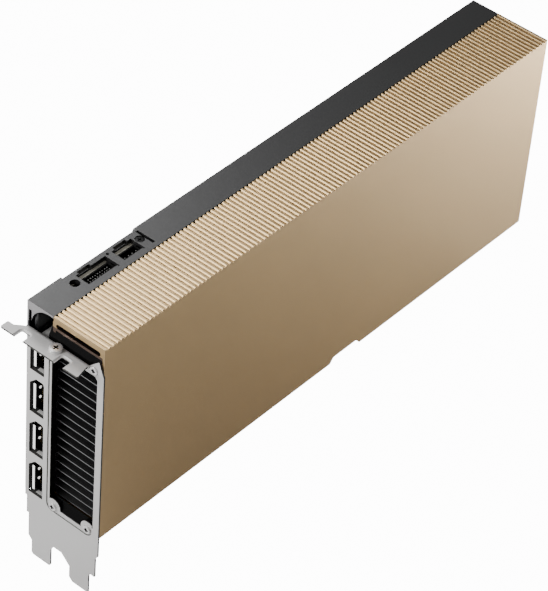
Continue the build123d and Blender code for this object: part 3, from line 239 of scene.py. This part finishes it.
def edge_group():
    """A mask of the sharp edges, broken up by noise, for rubbed edges and for a painted highlight on the
    arris.
    """
    if "edge_wear" in bpy.data.node_groups:
        return bpy.data.node_groups["edge_wear"]
    tree, start, end = new_group(
        "edge_wear",
        [("Radius", "NodeSocketFloat", 0.0003), ("Break Up", "NodeSocketFloat", 0.5)],
        [("Mask", "NodeSocketFloat")])
    bevel = tree.nodes.new("ShaderNodeBevel")
    bevel.samples = 4
    tree.links.new(start.outputs["Radius"], bevel.inputs["Radius"])
    plain = tree.nodes.new("ShaderNodeNewGeometry")
    compare = tree.nodes.new("ShaderNodeVectorMath")
    compare.operation = "DOT_PRODUCT"
    tree.links.new(bevel.outputs["Normal"], compare.inputs[0])
    tree.links.new(plain.outputs["True Normal"], compare.inputs[1])
    turned = math_node(tree, "SUBTRACT", 1.0, compare.outputs["Value"])
    mask = math_node(tree, "MULTIPLY", turned, EDGE_GAIN, clamp=True)
    place = tree.nodes.new("ShaderNodeTexCoord")
    noise = tree.nodes.new("ShaderNodeTexNoise")
    noise.inputs["Scale"].default_value = BREAK_UP_SCALE
    noise.inputs["Detail"].default_value = 3.0
    tree.links.new(place.outputs["Object"], noise.inputs["Vector"])
    spread = math_node(tree, "MULTIPLY", noise.outputs["Fac"], start.outputs["Break Up"])
    kept = math_node(tree, "SUBTRACT", 1.0, spread, clamp=True)
    tree.links.new(math_node(tree, "MULTIPLY", mask, kept, clamp=True), end.inputs["Mask"])
    return tree


def use_group(tree, group, **values):
    """Places a shader group in a material and sets its own values."""
    node = tree.nodes.new("ShaderNodeGroup")
    node.node_tree = group
    for label, value in values.items():
        node.inputs[label.replace("_", " ")].default_value = value
    return node


def mix_colour(tree, factor, first, second):
    """A colour mix whose three inputs are sockets or values."""
    node = tree.nodes.new("ShaderNodeMix")
    node.data_type = "RGBA"
    for socket, source in ((node.inputs[0], factor), (node.inputs[6], first), (node.inputs[7], second)):
        if isinstance(source, (int, float)):
            socket.default_value = source
        elif isinstance(source, bpy.types.NodeSocket):
            tree.links.new(source, socket)
        else:
            socket.default_value = opaque(source)
    return node.outputs[2]


def span(tree, value, low, high):
    """Maps the range that a noise mostly keeps to onto low..high."""
    node = tree.nodes.new("ShaderNodeMapRange")
    for label, limit in zip(("From Min", "From Max", "To Min", "To Max"), (*NOISE_RANGE, low, high)):
        node.inputs[label].default_value = limit
    tree.links.new(value, node.inputs["Value"])
    return node.outputs["Result"]


def opaque(colour):
    """A colour with full alpha."""
    return (*tuple(colour)[:3], 1.0)


def shade(colour, amount):
    """A colour made lighter or darker by a factor."""
    return [min(1.0, channel * amount) for channel in tuple(colour)[:3]]


def made_finish(name):
    """A finish that an earlier step made, or None."""
    return bpy.data.materials.get(FINISH + name)


def finish(name, colour, roughness, metallic, grain=5000.0, stretch=(1, 1, 1), bump=0.05, drift=18.0,
           tone=0.08, wear=0.25, wear_colour=None, radius=0.0003, coat=0.0, specular=0.5, glow=0.0):
    """A finish with grain, a slow drift of tone, gloss that varies, and edges lightened by rubbing and as a
    painted highlight.
    """
    if made_finish(name):
        return made_finish(name)
    material = bpy.data.materials.new(FINISH + name)
    material.use_nodes = True
    material.diffuse_color = opaque(colour)
    tree = material.node_tree
    shader = tree.nodes["Principled BSDF"]
    shader.inputs["Metallic"].default_value = metallic
    shader.inputs["Specular IOR Level"].default_value = specular
    # glow makes a part shine though it is no lamp: painted light.
    if glow:
        shader.inputs["Emission Color"].default_value = opaque(colour)
        shader.inputs["Emission Strength"].default_value = glow
    if coat:
        shader.inputs["Coat Weight"].default_value = coat
        shader.inputs["Coat Roughness"].default_value = COAT_ROUGHNESS
    surface = use_group(tree, grain_group(), Grain_Scale=grain, Stretch=stretch, Drift_Scale=drift)
    edges = use_group(tree, edge_group(), Radius=radius, Break_Up=EDGE_BREAK_UP)
    base = mix_colour(tree, surface.outputs["Tone"], shade(colour, 1 - tone), shade(colour, 1 + tone))
    # The edge colour stands for rubbing and for a painted highlight.
    worn_and_lit = wear_colour or shade(colour, WORN_AND_LIT_LIGHTER)
    edge_share = math_node(tree, "MULTIPLY", edges.outputs["Mask"], wear)
    tree.links.new(mix_colour(tree, edge_share, base, worn_and_lit), shader.inputs["Base Color"])
    swing = roughness * GLOSS_SWING
    tree.links.new(span(tree, surface.outputs["Tone"], roughness - swing, roughness + swing),
                   shader.inputs["Roughness"])
    relief = tree.nodes.new("ShaderNodeBump")
    relief.inputs["Strength"].default_value = bump
    relief.inputs["Distance"].default_value = GRAIN_DEPTH
    tree.links.new(surface.outputs["Height"], relief.inputs["Height"])
    tree.links.new(relief.outputs["Normal"], shader.inputs["Normal"])
    return material


def dress(names, material):
    """Gives CAD nodes a finish, in every material slot they have."""
    for name in names:
        slots = NODES[name].material_slots
        if not slots:
            NODES[name].data.materials.append(material)
        for slot in slots:
            slot.material = material


def colours():
    """The colours set in the panel."""
    return bpy.context.scene.card_colours


def sizes():
    """The sizes set in the panel."""
    return bpy.context.scene.card_sizes


# Masks that pick faces by their normal and place, in metres

def above(tree, value, limit):
    """One where the value is over the limit."""
    return math_node(tree, "GREATER_THAN", value, limit)


def below(tree, value, limit):
    """One where the value is under the limit."""
    return math_node(tree, "LESS_THAN", value, limit)


def unsigned(tree, value):
    """The value without its sign."""
    return math_node(tree, "ABSOLUTE", value)


def all_of(tree, first, *others):
    """One where each of these masks is one."""
    for other in others:
        first = math_node(tree, "MULTIPLY", first, other)
    return first


def any_of(tree, first, *others):
    """One where any of these masks is one."""
    for other in others:
        first = math_node(tree, "MAXIMUM", first, other)
    return first


def lip_painted_shade(tree, normal, point):
    """The thin bar and the slot under the cover's front lip, which get painted shade."""
    slot_bottom = 0.101
    slot_top = 0.10355
    bar_back = 0.0017
    plain_side = -0.0338
    return all_of(tree, above(tree, point["Z"], slot_bottom), below(tree, point["Z"], slot_top),
                  below(tree, point["X"], bar_back), above(tree, point["Y"], plain_side))


def painted_light_front_faces(tree, normal, point):
    """The upper faces of the front end, which look at the bracket, where light is painted on as a paler
    grey.
    """
    end_back = 0.001
    ribs_side = -0.009
    board_side = -0.003
    side_bottom = 0.0985
    top_bottom = 0.104
    beside = all_of(tree, above(tree, point["Y"], board_side), above(tree, point["Z"], side_bottom))
    upper = any_of(tree, beside, above(tree, point["Z"], top_bottom))
    return all_of(tree, below(tree, normal["X"], -0.7), below(tree, point["X"], end_back),
                  above(tree, point["Y"], ribs_side), upper)


def bracket_painted_shade(tree, normal, point):
    """The cut edges and pressed walls of the bracket's plate and flange, not its bend, which get painted
    shade.
    """
    face_back = 0.00003
    bend_bottom = 0.0935
    ear_side = -0.0287
    flange_start = -0.0014
    off_bend = any_of(tree, below(tree, point["Z"], bend_bottom), below(tree, point["Y"], ear_side))
    plate = all_of(tree, below(tree, unsigned(tree, normal["X"]), 0.8),
                   above(tree, point["X"], face_back), off_bend)
    flange = all_of(tree, below(tree, unsigned(tree, normal["Z"]), 0.3),
                    below(tree, point["X"], flange_start))
    return any_of(tree, plate, flange)


def shell_painted_shade(tree, normal, point):
    """Painted shade on a shell's front edge, on its wall in the tongue's shade, and on the top shell's
    upper wall.
    """
    shaded_wall = -0.0014
    upper_wall = 0.0941
    return any_of(tree, above(tree, unsigned(tree, normal["X"]), 0.7),
                  above(tree, point["Y"], shaded_wall), above(tree, point["Z"], upper_wall))


def laminate_edges(tree, normal, point):
    """The board's routed edge on top, where the connectors' windows show it."""
    return above(tree, normal["Z"], 0.5)


def masked_finish(name, colour, test, picked, **look):
    """A finish with another colour on the faces that a test on normal and place picks."""
    if made_finish(name):
        return made_finish(name)
    material = finish(name, colour, **look)
    tree = material.node_tree
    shader = tree.nodes["Principled BSDF"]
    plain = shader.inputs["Base Color"].links[0].from_socket
    facing = tree.nodes.new("ShaderNodeNewGeometry")
    normal = tree.nodes.new("ShaderNodeSeparateXYZ")
    tree.links.new(facing.outputs["True Normal"], normal.inputs[0])
    place = tree.nodes.new("ShaderNodeTexCoord")
    point = tree.nodes.new("ShaderNodeSeparateXYZ")
    tree.links.new(place.outputs["Object"], point.inputs[0])
    mask = test(tree, normal.outputs, point.outputs)
    tree.links.new(mix_colour(tree, mask, plain, picked), shader.inputs["Base Color"])
    return material


# Finishes that more than one step uses, or that a mask picks faces of

def gold_finish():
    """Bead-blasted anodised gold, painted dark as shade on the thin bar under the front lip's slot."""
    return masked_finish("gold_anodised", colours().gold, lip_painted_shade, (0.13, 0.09, 0.07),
                         roughness=0.38, metallic=1.0, grain=6500.0, bump=0.12, tone=0.05, drift=9.0,
                         wear=0.45, wear_colour=(0.86, 0.72, 0.50), radius=0.00025)


def dark_finish():
    """Black coating with a fine texture, with painted light making the upper faces of the front end paler.
    """
    return masked_finish("dark_coating", colours().dark, painted_light_front_faces, (0.31, 0.30, 0.305),
                         roughness=0.42, metallic=0.0, grain=4200.0, bump=0.18, tone=0.12,
                         wear=0.35, wear_colour=(0.22, 0.22, 0.22), radius=0.0002, specular=0.8)


def nickel_finish():
    """Satin nickel plate with a faint rolling direction, and cut edges painted dark as shade."""
    return masked_finish("satin_nickel", colours().nickel, bracket_painted_shade, (0.05, 0.048, 0.045),
                         roughness=0.50, metallic=0.2, grain=2600.0, stretch=(1, 1, 0.08), bump=0.06,
                         tone=0.05, wear=0.5, wear_colour=(0.92, 0.90, 0.86), radius=0.0002)


def board_finish():
    """Black solder mask on the board's faces and bare laminate at its routed edge."""
    return masked_finish("board", colours().board, laminate_edges, colours().laminate,
                         roughness=0.35, metallic=0.0, grain=1200.0, bump=0.05, tone=0.1, wear=0.1,
                         coat=0.4)


def black_finish():
    """Moulded black plastic."""
    return finish("black_moulding", colours().black, roughness=0.5, metallic=0.0, grain=2200.0,
                  bump=0.1, tone=0.2, wear=0.3, wear_colour=(0.02, 0.02, 0.02), specular=0.04)


def contact_finish():
    """Gold plate of contacts and pins."""
    return finish("contact_plate", colours().contact, roughness=0.25, metallic=1.0, grain=3000.0,
                  bump=0.03, tone=0.05, wear=0.2, radius=0.00008)


# New pieces

def select_only(*pieces):
    """Selects these pieces and nothing else, and makes the first one active."""
    bpy.ops.object.select_all(action="DESELECT")
    for piece in pieces:
        piece.select_set(True)
    bpy.context.view_layer.objects.active = pieces[0]


def rename(piece, name):
    """Gives a piece and its mesh the same name."""
    piece.name = name
    piece.data.name = name
    return piece


def new_piece(name, kind, **values):
    """Adds a primitive with nothing else selected, and names it."""
    bpy.ops.object.select_all(action="DESELECT")
    getattr(bpy.ops.mesh, "primitive_" + kind + "_add")(**values)
    return rename(bpy.context.object, name)


def bevel_all(offset, segments):
    """Bevels every edge of the active piece."""
    bpy.ops.object.mode_set(mode="EDIT")
    bpy.ops.mesh.select_all(action="SELECT")
    bpy.ops.mesh.bevel(offset=offset, segments=segments, affect="EDGES")
    bpy.ops.object.mode_set(mode="OBJECT")


def block(name, size, bevel, segments=1, place=(0, 0, 0)):
    """A box with bevelled edges."""
    piece = new_piece(name, "cube", size=1.0, location=place)
    bpy.ops.transform.resize(value=size)
    bpy.ops.object.transform_apply(location=True, rotation=True, scale=True)
    bevel_all(bevel, segments)
    return piece


def settle(piece, material, recess=None):
    """Puts the piece's place into its mesh, gives it its finish, and rides it on the card."""
    select_only(piece)
    bpy.ops.object.transform_apply(location=True, rotation=True, scale=True)
    sunk = [face.index for face in piece.data.polygons if face.material_index == 1]
    piece.data.materials.clear()
    piece.data.materials.append(material)
    if recess:
        piece.data.materials.append(recess)
        for index in sunk:
            piece.data.polygons[index].material_index = 1
    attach(piece, "root")
    return piece


def repeat(first, name, places):
    """Puts a piece at the first place and copies with their own meshes at the others, and joins them."""
    pattern = first.data.copy()
    row = [first]
    for _ in places[1:]:
        copy = bpy.data.objects.new(name + "_copy", pattern.copy())
        bpy.context.scene.collection.objects.link(copy)
        row.append(copy)
    bpy.data.meshes.remove(pattern)
    for piece, place in zip(row, places):
        piece.matrix_world = place
    bpy.context.view_layer.update()
    if len(row) > 1:
        select_only(*row)
        bpy.ops.object.join()
    return rename(first, name)


def solids(name):
    """Lowest and highest corners of each separate solid in a CAD node."""
    work = bmesh.new()
    work.from_mesh(NODES[name].data)
    bmesh.ops.remove_doubles(work, verts=work.verts, dist=1e-6)
    left = set(work.verts)
    boxes = []
    while left:
        reached = [left.pop()]
        island = []
        while reached:
            vertex = reached.pop()
            island.append(vertex.co.copy())
            for edge in vertex.link_edges:
                other = edge.other_vert(vertex)
                if other in left:
                    left.remove(other)
                    reached.append(other)
        low = Vector([min(point[i] for point in island) for i in range(3)])
        high = Vector([max(point[i] for point in island) for i in range(3)])
        boxes.append((low, high))
    work.free()
    return sorted(boxes, key=lambda box: tuple(round(value, 6) for value in box[0]))


def select_faces(piece, test):
    """Selects the faces whose centre and normal pass the test, in edit mode."""
    bpy.ops.object.mode_set(mode="EDIT")
    bpy.ops.mesh.select_mode(type="FACE")
    bpy.ops.mesh.select_all(action="DESELECT")
    mesh = bmesh.from_edit_mesh(piece.data)
    for face in mesh.faces:
        face.select = test(face.calc_center_median(), face.normal)
    bmesh.update_edit_mesh(piece.data)


def combine(piece, tool, operation):
    """Adds a tool's shape to a piece or takes it out, by a boolean, and throws the tool away."""
    select_only(piece)
    change = piece.modifiers.new("change", "BOOLEAN")
    change.operation = operation
    change.solver = "EXACT"
    change.material_mode = "INDEX"
    change.object = tool
    bpy.ops.object.modifier_apply(modifier=change.name)
    bpy.data.objects.remove(tool, do_unlink=True)


def head_and_recess(piece):
    """Two material slots, so that the recess keeps its faces apart until the screw is settled."""
    for label in ("head", "recess"):
        piece.data.materials.append(bpy.data.materials.new(label))


def cross_tool(radius, width, top, depth):
    """A tapered cross that cuts a screw's drive recess."""
    taper = 0.55
    arms = []
    for size in ((2 * radius, width), (width, 2 * radius)):
        arm = new_piece("arm", "cube", size=1.0, location=(0, 0, top))
        bpy.ops.transform.resize(value=(*size, 2 * depth))
        select_faces(arm, lambda centre, normal: normal.z < -0.5)
        bpy.ops.transform.resize(value=(taper, taper, 1.0))
        bpy.ops.object.mode_set(mode="OBJECT")
        arms.append(arm)
    first, second = arms
    combine(first, second, "UNION")
    head_and_recess(first)
    for face in first.data.polygons:
        face.material_index = 1
    return first


def screw(name, head_radius, head_height, shank_radius, shank_length, countersunk=False,
          drive=0.5, arm=0.52):
    """A cross-recess screw along +Z, with its head standing on z = 0.

    The recess reaches to the share drive of the head, and its arms are the share arm of that wide.
    """
    rounded = 0.24
    piece = new_piece(name, "cylinder", vertices=40, radius=head_radius, depth=head_height,
                      location=(0, 0, head_height / 2))
    head_and_recess(piece)
    bpy.ops.object.transform_apply(location=True, rotation=True, scale=True)
    select_faces(piece, lambda centre, normal: normal.z < -0.5)
    if countersunk:
        share = shank_radius / head_radius
        bpy.ops.transform.resize(value=(share, share, 1.0))
    else:
        bpy.ops.mesh.inset(thickness=head_radius - shank_radius)
    bpy.ops.mesh.extrude_region_move(TRANSFORM_OT_translate={"value": (0, 0, -shank_length)})
    if not countersunk:
        select_faces(piece, lambda centre, normal: normal.z > 0.5 and centre.z > head_height * 0.9)
        bpy.ops.mesh.bevel(offset=head_height * rounded, segments=3, affect="EDGES")
    bpy.ops.object.mode_set(mode="OBJECT")
    reach = head_radius * drive
    combine(piece, cross_tool(reach, reach * arm, head_height, head_height * sizes().drive_depth),
            "DIFFERENCE")
    return piece


def tip(low, high, way):
    """The middle of a box's end that lies furthest along an axis."""
    middle = (low + high) / 2
    return Vector([high[i] if way[i] > 0.5 else low[i] if way[i] < -0.5 else middle[i] for i in range(3)])


def screw_row(name, node, axis, material, slot, **shape):
    """One screw for each solid of a CAD node, heads towards the axis, in place of that node."""
    way = Vector(axis)
    turn = way.to_track_quat("Z", "Y").to_matrix().to_4x4()
    head_height = shape["head_height"]
    boxes = solids(node)
    places = [Matrix.Translation(tip(low, high, way) - way * head_height) @ turn for low, high in boxes]
    low, high = boxes[0]
    across = next(i for i in range(3) if abs(way[i]) < 0.5)
    first = screw(name, head_radius=(high[across] - low[across]) / 2,
                  shank_length=abs((high - low).dot(way)) - head_height, **shape)
    shadow = finish("recess", (0.01, 0.01, 0.01), roughness=0.5, metallic=0.0, wear=0.0, specular=0.1)
    piece = settle(repeat(first, name, places), material, shadow)
    bpy.ops.object.shade_smooth_by_angle(angle=math.radians(35))
    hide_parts(node)
    return piece


class CARD_OT_cover(bpy.types.Operator):
    """Finish the gold cover"""

    bl_idname = "card.cover"
    bl_label = "Gold cover"

    def execute(self, context):
        dress(["gold_cover"], gold_finish())
        return {"FINISHED"}


class CARD_OT_rail(bpy.types.Operator):
    """Finish the dark rail and the backplate"""

    bl_idname = "card.rail"
    bl_label = "Rail and backplate"

    def execute(self, context):
        dress(["top_frame", "backplate"], dark_finish())
        return {"FINISHED"}


class CARD_OT_bracket(bpy.types.Operator):
    """Finish the bracket"""

    bl_idname = "card.bracket"
    bl_label = "Bracket"

    def execute(self, context):
        dress(["io_bracket"], nickel_finish())
        return {"FINISHED"}


class CARD_OT_screws(bpy.types.Operator):
    """Make the screws with their recesses in place of the plain CAD ones"""

    bl_idname = "card.screws"
    bl_label = "Screws"

    def execute(self, context):
        bright = finish("bright_screw", (0.86, 0.85, 0.84), roughness=0.38, metallic=0.7, grain=3000.0,
                        bump=0.04, tone=0.06, wear=0.5, wear_colour=(0.95, 0.94, 0.92), radius=0.00015)
        black = finish("black_screw", (0.005, 0.005, 0.005), roughness=0.4, metallic=0.0, grain=3000.0,
                       bump=0.05, tone=0.1, wear=0.4, wear_colour=(0.12, 0.12, 0.12), radius=0.00012,
                       specular=0.16)
        steel = finish("plain_steel", (0.42, 0.42, 0.43), roughness=0.32, metallic=1.0, bump=0.05, wear=0.4)
        screw_row("flange_screw_head", "flange_screw", (0, 0, 1), bright, "nickel_screw",
                  head_height=0.0011, shank_radius=0.001, drive=0.6, arm=0.6)
        screw_row("bracket_screw_heads", "bracket_screws", (-1, 0, 0), bright, "nickel_screw",
                  head_height=0.00095, shank_radius=0.0008, drive=0.72, arm=0.8)
        screw_row("top_screw_head", "top_screw", (0, 0, 1), black, "black_screw",
                  head_height=0.00095, shank_radius=0.0008, drive=0.64, arm=0.7)
        screw_row("backplate_screw_heads", "backplate_screws", (0, 1, 0), black, "black_screw",
                  head_height=0.00094, shank_radius=0.001, countersunk=True)
        screw_row("heatsink_screw_heads", "heatsink_screws", (0, 1, 0), steel, "spring_steel",
                  head_height=0.0019, shank_radius=0.0012)
        return {"FINISHED"}


class CARD_OT_mouldings(bpy.types.Operator):
    """Finish the duct, the rear frame and the plastic connectors"""

    bl_idname = "card.mouldings"
    bl_label = "Black mouldings"

    def execute(self, context):
        dress(["front_duct", "rear_frame", "frame_clip", "power_header", "sync_connector", "aux_connector"],
              black_finish())
        return {"FINISHED"}


class CARD_OT_board(bpy.types.Operator):
    """Finish the board and the pins, and lay the contacts of the card edge"""

    bl_idname = "card.board"
    bl_label = "Board"

    def execute(self, context):
        tinned = finish("tinned_pins", (0.17, 0.17, 0.165), roughness=0.5, metallic=1.0, grain=3000.0,
                        bump=0.03, tone=0.05, wear=0.1, radius=0.00008)
        substrate = finish("substrate", (0.02, 0.10, 0.06), roughness=0.4, metallic=0.0, coat=0.5, wear=0.1)
        dress(["pcb"], board_finish())
        dress(["power_pins"], contact_finish())
        dress(["sync_pins", "aux_pins"], tinned)
        dress(["gpu_substrate"], substrate)
        self.contacts()
        return {"FINISHED"}

    def contacts(self):
        """The plated contacts on both faces of the card edge, in a short and a long row beside the key."""
        short_start = 0.04455
        short_count = 11
        row_step = 0.01355
        long_start = short_start + row_step
        long_count = 71
        first_middle = 0.0009
        foot = 0.0012
        width, height, thickness = sizes().edge_contact
        pitch = sizes().edge_pitch
        middles = [start + first_middle + n * pitch
                   for start, count in ((short_start, short_count), (long_start, long_count))
                   for n in range(count)]
        low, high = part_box("pcb")
        for side, y in (("front", low[1]), ("back", high[1])):
            name = "edge_contacts_" + side
            places = [Matrix.Translation((x, y, foot + height / 2)) for x in middles]
            contact = block(name, (width, 2 * thickness, height), bevel=thickness * 0.4)
            settle(repeat(contact, name, places), contact_finish())


class CARD_OT_heatsink(bpy.types.Operator):
    """Finish the heatsink"""

    bl_idname = "card.heatsink"
    bl_label = "Heatsink"

    def execute(self, context):
        fins = finish("fin_sheet", colours().fin, roughness=0.38, metallic=1.0, grain=1800.0,
                      stretch=(0.1, 1, 1), bump=0.05, tone=0.08, wear=0.25, radius=0.00015)
        dress(["fin_stack", "heatsink_base"], fins)
        return {"FINISHED"}


class CARD_OT_chips(bpy.types.Operator):
    """Finish the processor, memory, inductors and thermal pads"""

    bl_idname = "card.chips"
    bl_label = "Chips"

    def execute(self, context):
        chip = finish("moulding_compound", (0.018, 0.018, 0.02), roughness=0.55, metallic=0.0,
                      bump=0.15, tone=0.1)
        pad = finish("thermal_pad", (0.25, 0.30, 0.40), roughness=0.8, metallic=0.0, grain=900.0,
                     bump=0.2, tone=0.1, wear=0.0)
        ferrite = finish("ferrite", (0.07, 0.07, 0.075), roughness=0.5, metallic=0.3, grain=1500.0,
                         bump=0.3, tone=0.15)
        silicon = finish("silicon", (0.05, 0.05, 0.07), roughness=0.12, metallic=0.6, bump=0.0, wear=0.0)
        ring = finish("ring_plate", (0.55, 0.55, 0.55), roughness=0.35, metallic=1.0)
        dress([name for name in NODES if name.startswith("memory_chip")], chip)
        dress([name for name in NODES if "_pad" in name], pad)
        dress([name for name in NODES if name.startswith("inductor") and "_pad" not in name], ferrite)
        dress(["gpu_die"], silicon)
        dress(["gpu_stiffener"], ring)
        return {"FINISHED"}


class CARD_OT_sockets(bpy.types.Operator):
    """Finish the display sockets, and add their caps, contacts, latch studs and spring strips"""

    bl_idname = "card.sockets"
    bl_label = "Display sockets"

    def execute(self, context):
        # The shell gets painted shade on its front edges and shaded walls.
        shell = masked_finish("socket_shell", (0.80, 0.79, 0.77), shell_painted_shade, (0.04, 0.04, 0.04),
                              roughness=0.4, metallic=0.35, bump=0.05, tone=0.06, wear=0.3,
                              wear_colour=(0.8, 0.79, 0.75), radius=0.00012)
        # The cap glows a little: painted light.
        pale = finish("tongue_cap", (0.93, 0.93, 0.92), roughness=0.45, metallic=0.0, grain=3000.0,
                      bump=0.05, tone=0.03, wear=0.0, glow=0.9)
        # The latch studs glow: a painted glint.
        latch = finish("latch_plate", (0.92, 0.91, 0.89), roughness=0.4, metallic=0.2, bump=0.02,
                       tone=0.03, wear=0.2, glow=1.2)
        for number in range(1, 5):
            dress([f"port_shell_{number}"], shell)
            dress([f"port_insert_{number}"], black_finish())
            insert_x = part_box(f"port_insert_{number}")[0][0]
            low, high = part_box(f"port_shell_{number}")
            middle_z = (low[2] + high[2]) / 2
            self.cap(number, insert_x, middle_z - TONGUE_DROP, pale)
            self.contacts(number, insert_x, middle_z - TONGUE_DROP)
            self.studs(number, middle_z, latch)
            self.spring(number, low, high, shell)
        return {"FINISHED"}

    def cap(self, number, insert_x, tongue_z, finished):
        """The pale cap on the end of a socket's tongue, which glows as painted light."""
        cap_length = 0.0126
        cap_start = -0.00120
        cap_end = -0.00016
        sunk = 0.00002
        depth = sizes().tongue_cap
        place = (insert_x + sunk - depth / 2, (cap_start + cap_end) / 2, tongue_z)
        piece = block(f"tongue_cap_{number}", (depth, cap_end - cap_start, cap_length),
                      bevel=0.00008, segments=2, place=place)
        settle(piece, finished)

    def contacts(self, number, insert_x, tongue_z):
        """The row of contacts on a tongue."""
        count = 10
        width = 0.0004
        setback = 0.0032
        name = f"tongue_contacts_{number}"
        length, height, pitch = sizes().tongue_contact
        middle_x = insert_x + setback + length / 2
        places = [Matrix.Translation((middle_x, TONGUE_FACE, tongue_z + (n - (count - 1) / 2) * pitch))
                  for n in range(count)]
        contact = block(name, (length, 2 * height, width), bevel=height * 0.4)
        settle(repeat(contact, name, places), contact_finish())

    def studs(self, number, middle_z, finished):
        """The two latch studs beside a tongue, which glow as a painted glint."""
        radius = 0.00055
        depth = 0.0004
        stud_x = 0.00265
        above_middle = 0.0032
        below_middle = 0.00175
        name = f"latch_studs_{number}"
        upright = Matrix.Rotation(math.radians(90), 4, "X")
        places = [Matrix.Translation((stud_x, TONGUE_FACE - depth / 2, z)) @ upright
                  for z in (middle_z + above_middle, middle_z - below_middle)]
        stud = new_piece(name, "cylinder", vertices=20, radius=radius, depth=depth)
        bevel_all(offset=0.00012, segments=2)
        settle(repeat(stud, name, places), finished)

    def spring(self, number, low, high, finished):
        """The spring strip under a shell, which closes the gap below it behind the bracket's face."""
        length, thickness, reach = sizes().shell_spring
        width = high[1] + reach - low[1]
        place = (sizes().spring_start + length / 2, (low[1] + high[1] + reach) / 2, low[2] - thickness / 2)
        strip = block(f"shell_spring_{number}", (length, width, thickness),
                      bevel=thickness * 0.3, segments=2, place=place)
        settle(strip, finished)


class CARD_OT_stage(bpy.types.Operator):
    """Set the floor, the lights and the camera"""

    bl_idname = "card.stage"
    bl_label = "Stage"

    def execute(self, context):
        values = context.scene.card_stage
        floor_size = 8.0
        card_middle = 0.13
        gap = 0.0005
        floor_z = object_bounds()[0][2] - gap
        floor = new_piece("floor", "plane", size=floor_size, location=(card_middle, 0, floor_z))
        bpy.ops.object.transform_apply(location=True, rotation=True, scale=True)
        floor.data.materials.append(self.paper(values.backdrop))
        floor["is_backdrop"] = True
        self.sky(context, values)
        for name, place, target, side in LIGHTS:
            self.softbox(name + "_light", place, target, side, getattr(values, name + "_power"))
        self.camera(context, values.lens)
        return {"FINISHED"}

    def camera(self, context, lens):
        """The camera, with its picture's axes."""
        data = bpy.data.cameras.new("view")
        data.lens = lens
        data.sensor_fit = "AUTO"
        data.sensor_width = 36.0
        data.clip_start = 0.01
        data.clip_end = 50.0
        camera = bpy.data.objects.new("view", data)
        context.scene.collection.objects.link(camera)
        turn = Matrix((CAMERA_RIGHT, -Vector(CAMERA_DOWN), -Vector(CAMERA_AHEAD))).transposed()
        camera.matrix_world = Matrix.Translation(CAMERA_PLACE) @ turn.to_4x4()
        context.scene.camera = camera

    def paper(self, backdrop):
        """Matt white paper that the camera sees nearly shadowless."""
        grey = 0.80
        glow_share = 0.85
        material = bpy.data.materials.new("paper")
        material.use_nodes = True
        tree = material.node_tree
        skin = tree.nodes["Principled BSDF"]
        skin.inputs["Base Color"].default_value = (grey, grey, grey, 1)
        skin.inputs["Roughness"].default_value = 0.9
        glow = tree.nodes.new("ShaderNodeEmission")
        glow.inputs["Strength"].default_value = backdrop
        self.show_camera(tree, glow_share, skin, glow, tree.nodes["Material Output"])
        return material

    def sky(self, context, values):
        """Even light all round, which the camera sees as white."""
        world = bpy.data.worlds.new("sky")
        world.use_nodes = True
        tree = world.node_tree
        even = tree.nodes["Background"]
        shown = tree.nodes.new("ShaderNodeBackground")
        for node, strength in ((even, values.sky), (shown, values.backdrop)):
            node.inputs["Color"].default_value = (1, 1, 1, 1)
            node.inputs["Strength"].default_value = strength
        self.show_camera(tree, 1.0, even, shown, tree.nodes["World Output"])
        context.scene.world = world

    def show_camera(self, tree, share, plain, shown, end):
        """Mixes this share of another shader in, for rays that come straight from the camera."""
        seen = tree.nodes.new("ShaderNodeLightPath")
        mix = tree.nodes.new("ShaderNodeMixShader")
        part = math_node(tree, "MULTIPLY", seen.outputs["Is Camera Ray"], share)
        tree.links.new(part, mix.inputs["Fac"])
        tree.links.new(plain.outputs[0], mix.inputs[1])
        tree.links.new(shown.outputs[0], mix.inputs[2])
        tree.links.new(mix.outputs[0], end.inputs["Surface"])

    def softbox(self, name, place, target, side, power):
        """A square area light that faces a point."""
        data = bpy.data.lights.new(name, "AREA")
        data.shape = "RECTANGLE"
        data.size = side
        data.size_y = side
        data.energy = power
        light = bpy.data.objects.new(name, data)
        bpy.context.scene.collection.objects.link(light)
        way = (Vector(place) - Vector(target)).normalized()
        light.matrix_world = Matrix.Translation(place) @ way.to_track_quat("Z", "Y").to_matrix().to_4x4()
        light.visible_camera = False


class CARD_PT_panel(bpy.types.Panel):
    """Sizes, colours and steps of the card"""

    bl_idname = "CARD_PT_panel"
    bl_label = "Accelerator card"
    bl_space_type = "VIEW_3D"
    bl_region_type = "UI"
    bl_category = "Card"

    def draw(self, context):
        scene = context.scene
        for group in (scene.card_sizes, scene.card_colours, scene.card_stage):
            box = self.layout.box()
            for name in group.bl_rna.properties.keys():
                if name not in ("rna_type", "name"):
                    box.prop(group, name)
        for step in STEPS:
            self.layout.operator(step.bl_idname)


STEPS = (
    CARD_OT_cover, CARD_OT_rail, CARD_OT_bracket, CARD_OT_screws, CARD_OT_mouldings, CARD_OT_board,
    CARD_OT_heatsink, CARD_OT_chips, CARD_OT_sockets, CARD_OT_stage,
)
GROUPS = (("card_sizes", CardSizes), ("card_colours", CardColours), ("card_stage", CardStage))


def register():
    """Registers the sizes, the steps and the panel."""
    for name, group in GROUPS:
        bpy.utils.register_class(group)
        setattr(bpy.types.Scene, name, bpy.props.PointerProperty(type=group))
    for step in STEPS:
        bpy.utils.register_class(step)
    bpy.utils.register_class(CARD_PT_panel)


def unregister():
    """Takes all of it out again."""
    bpy.utils.unregister_class(CARD_PT_panel)
    for step in reversed(STEPS):
        bpy.utils.unregister_class(step)
    for name, group in reversed(GROUPS):
        delattr(bpy.types.Scene, name)
        bpy.utils.unregister_class(group)


def main():
    """Runs every step in order."""
    register()
    for step in STEPS:
        family, action = step.bl_idname.split(".")
        result = getattr(getattr(bpy.ops, family), action)()
        if "FINISHED" not in result:
            raise RuntimeError(step.bl_idname + " did not finish")


if __name__ == "__main__":
    main()
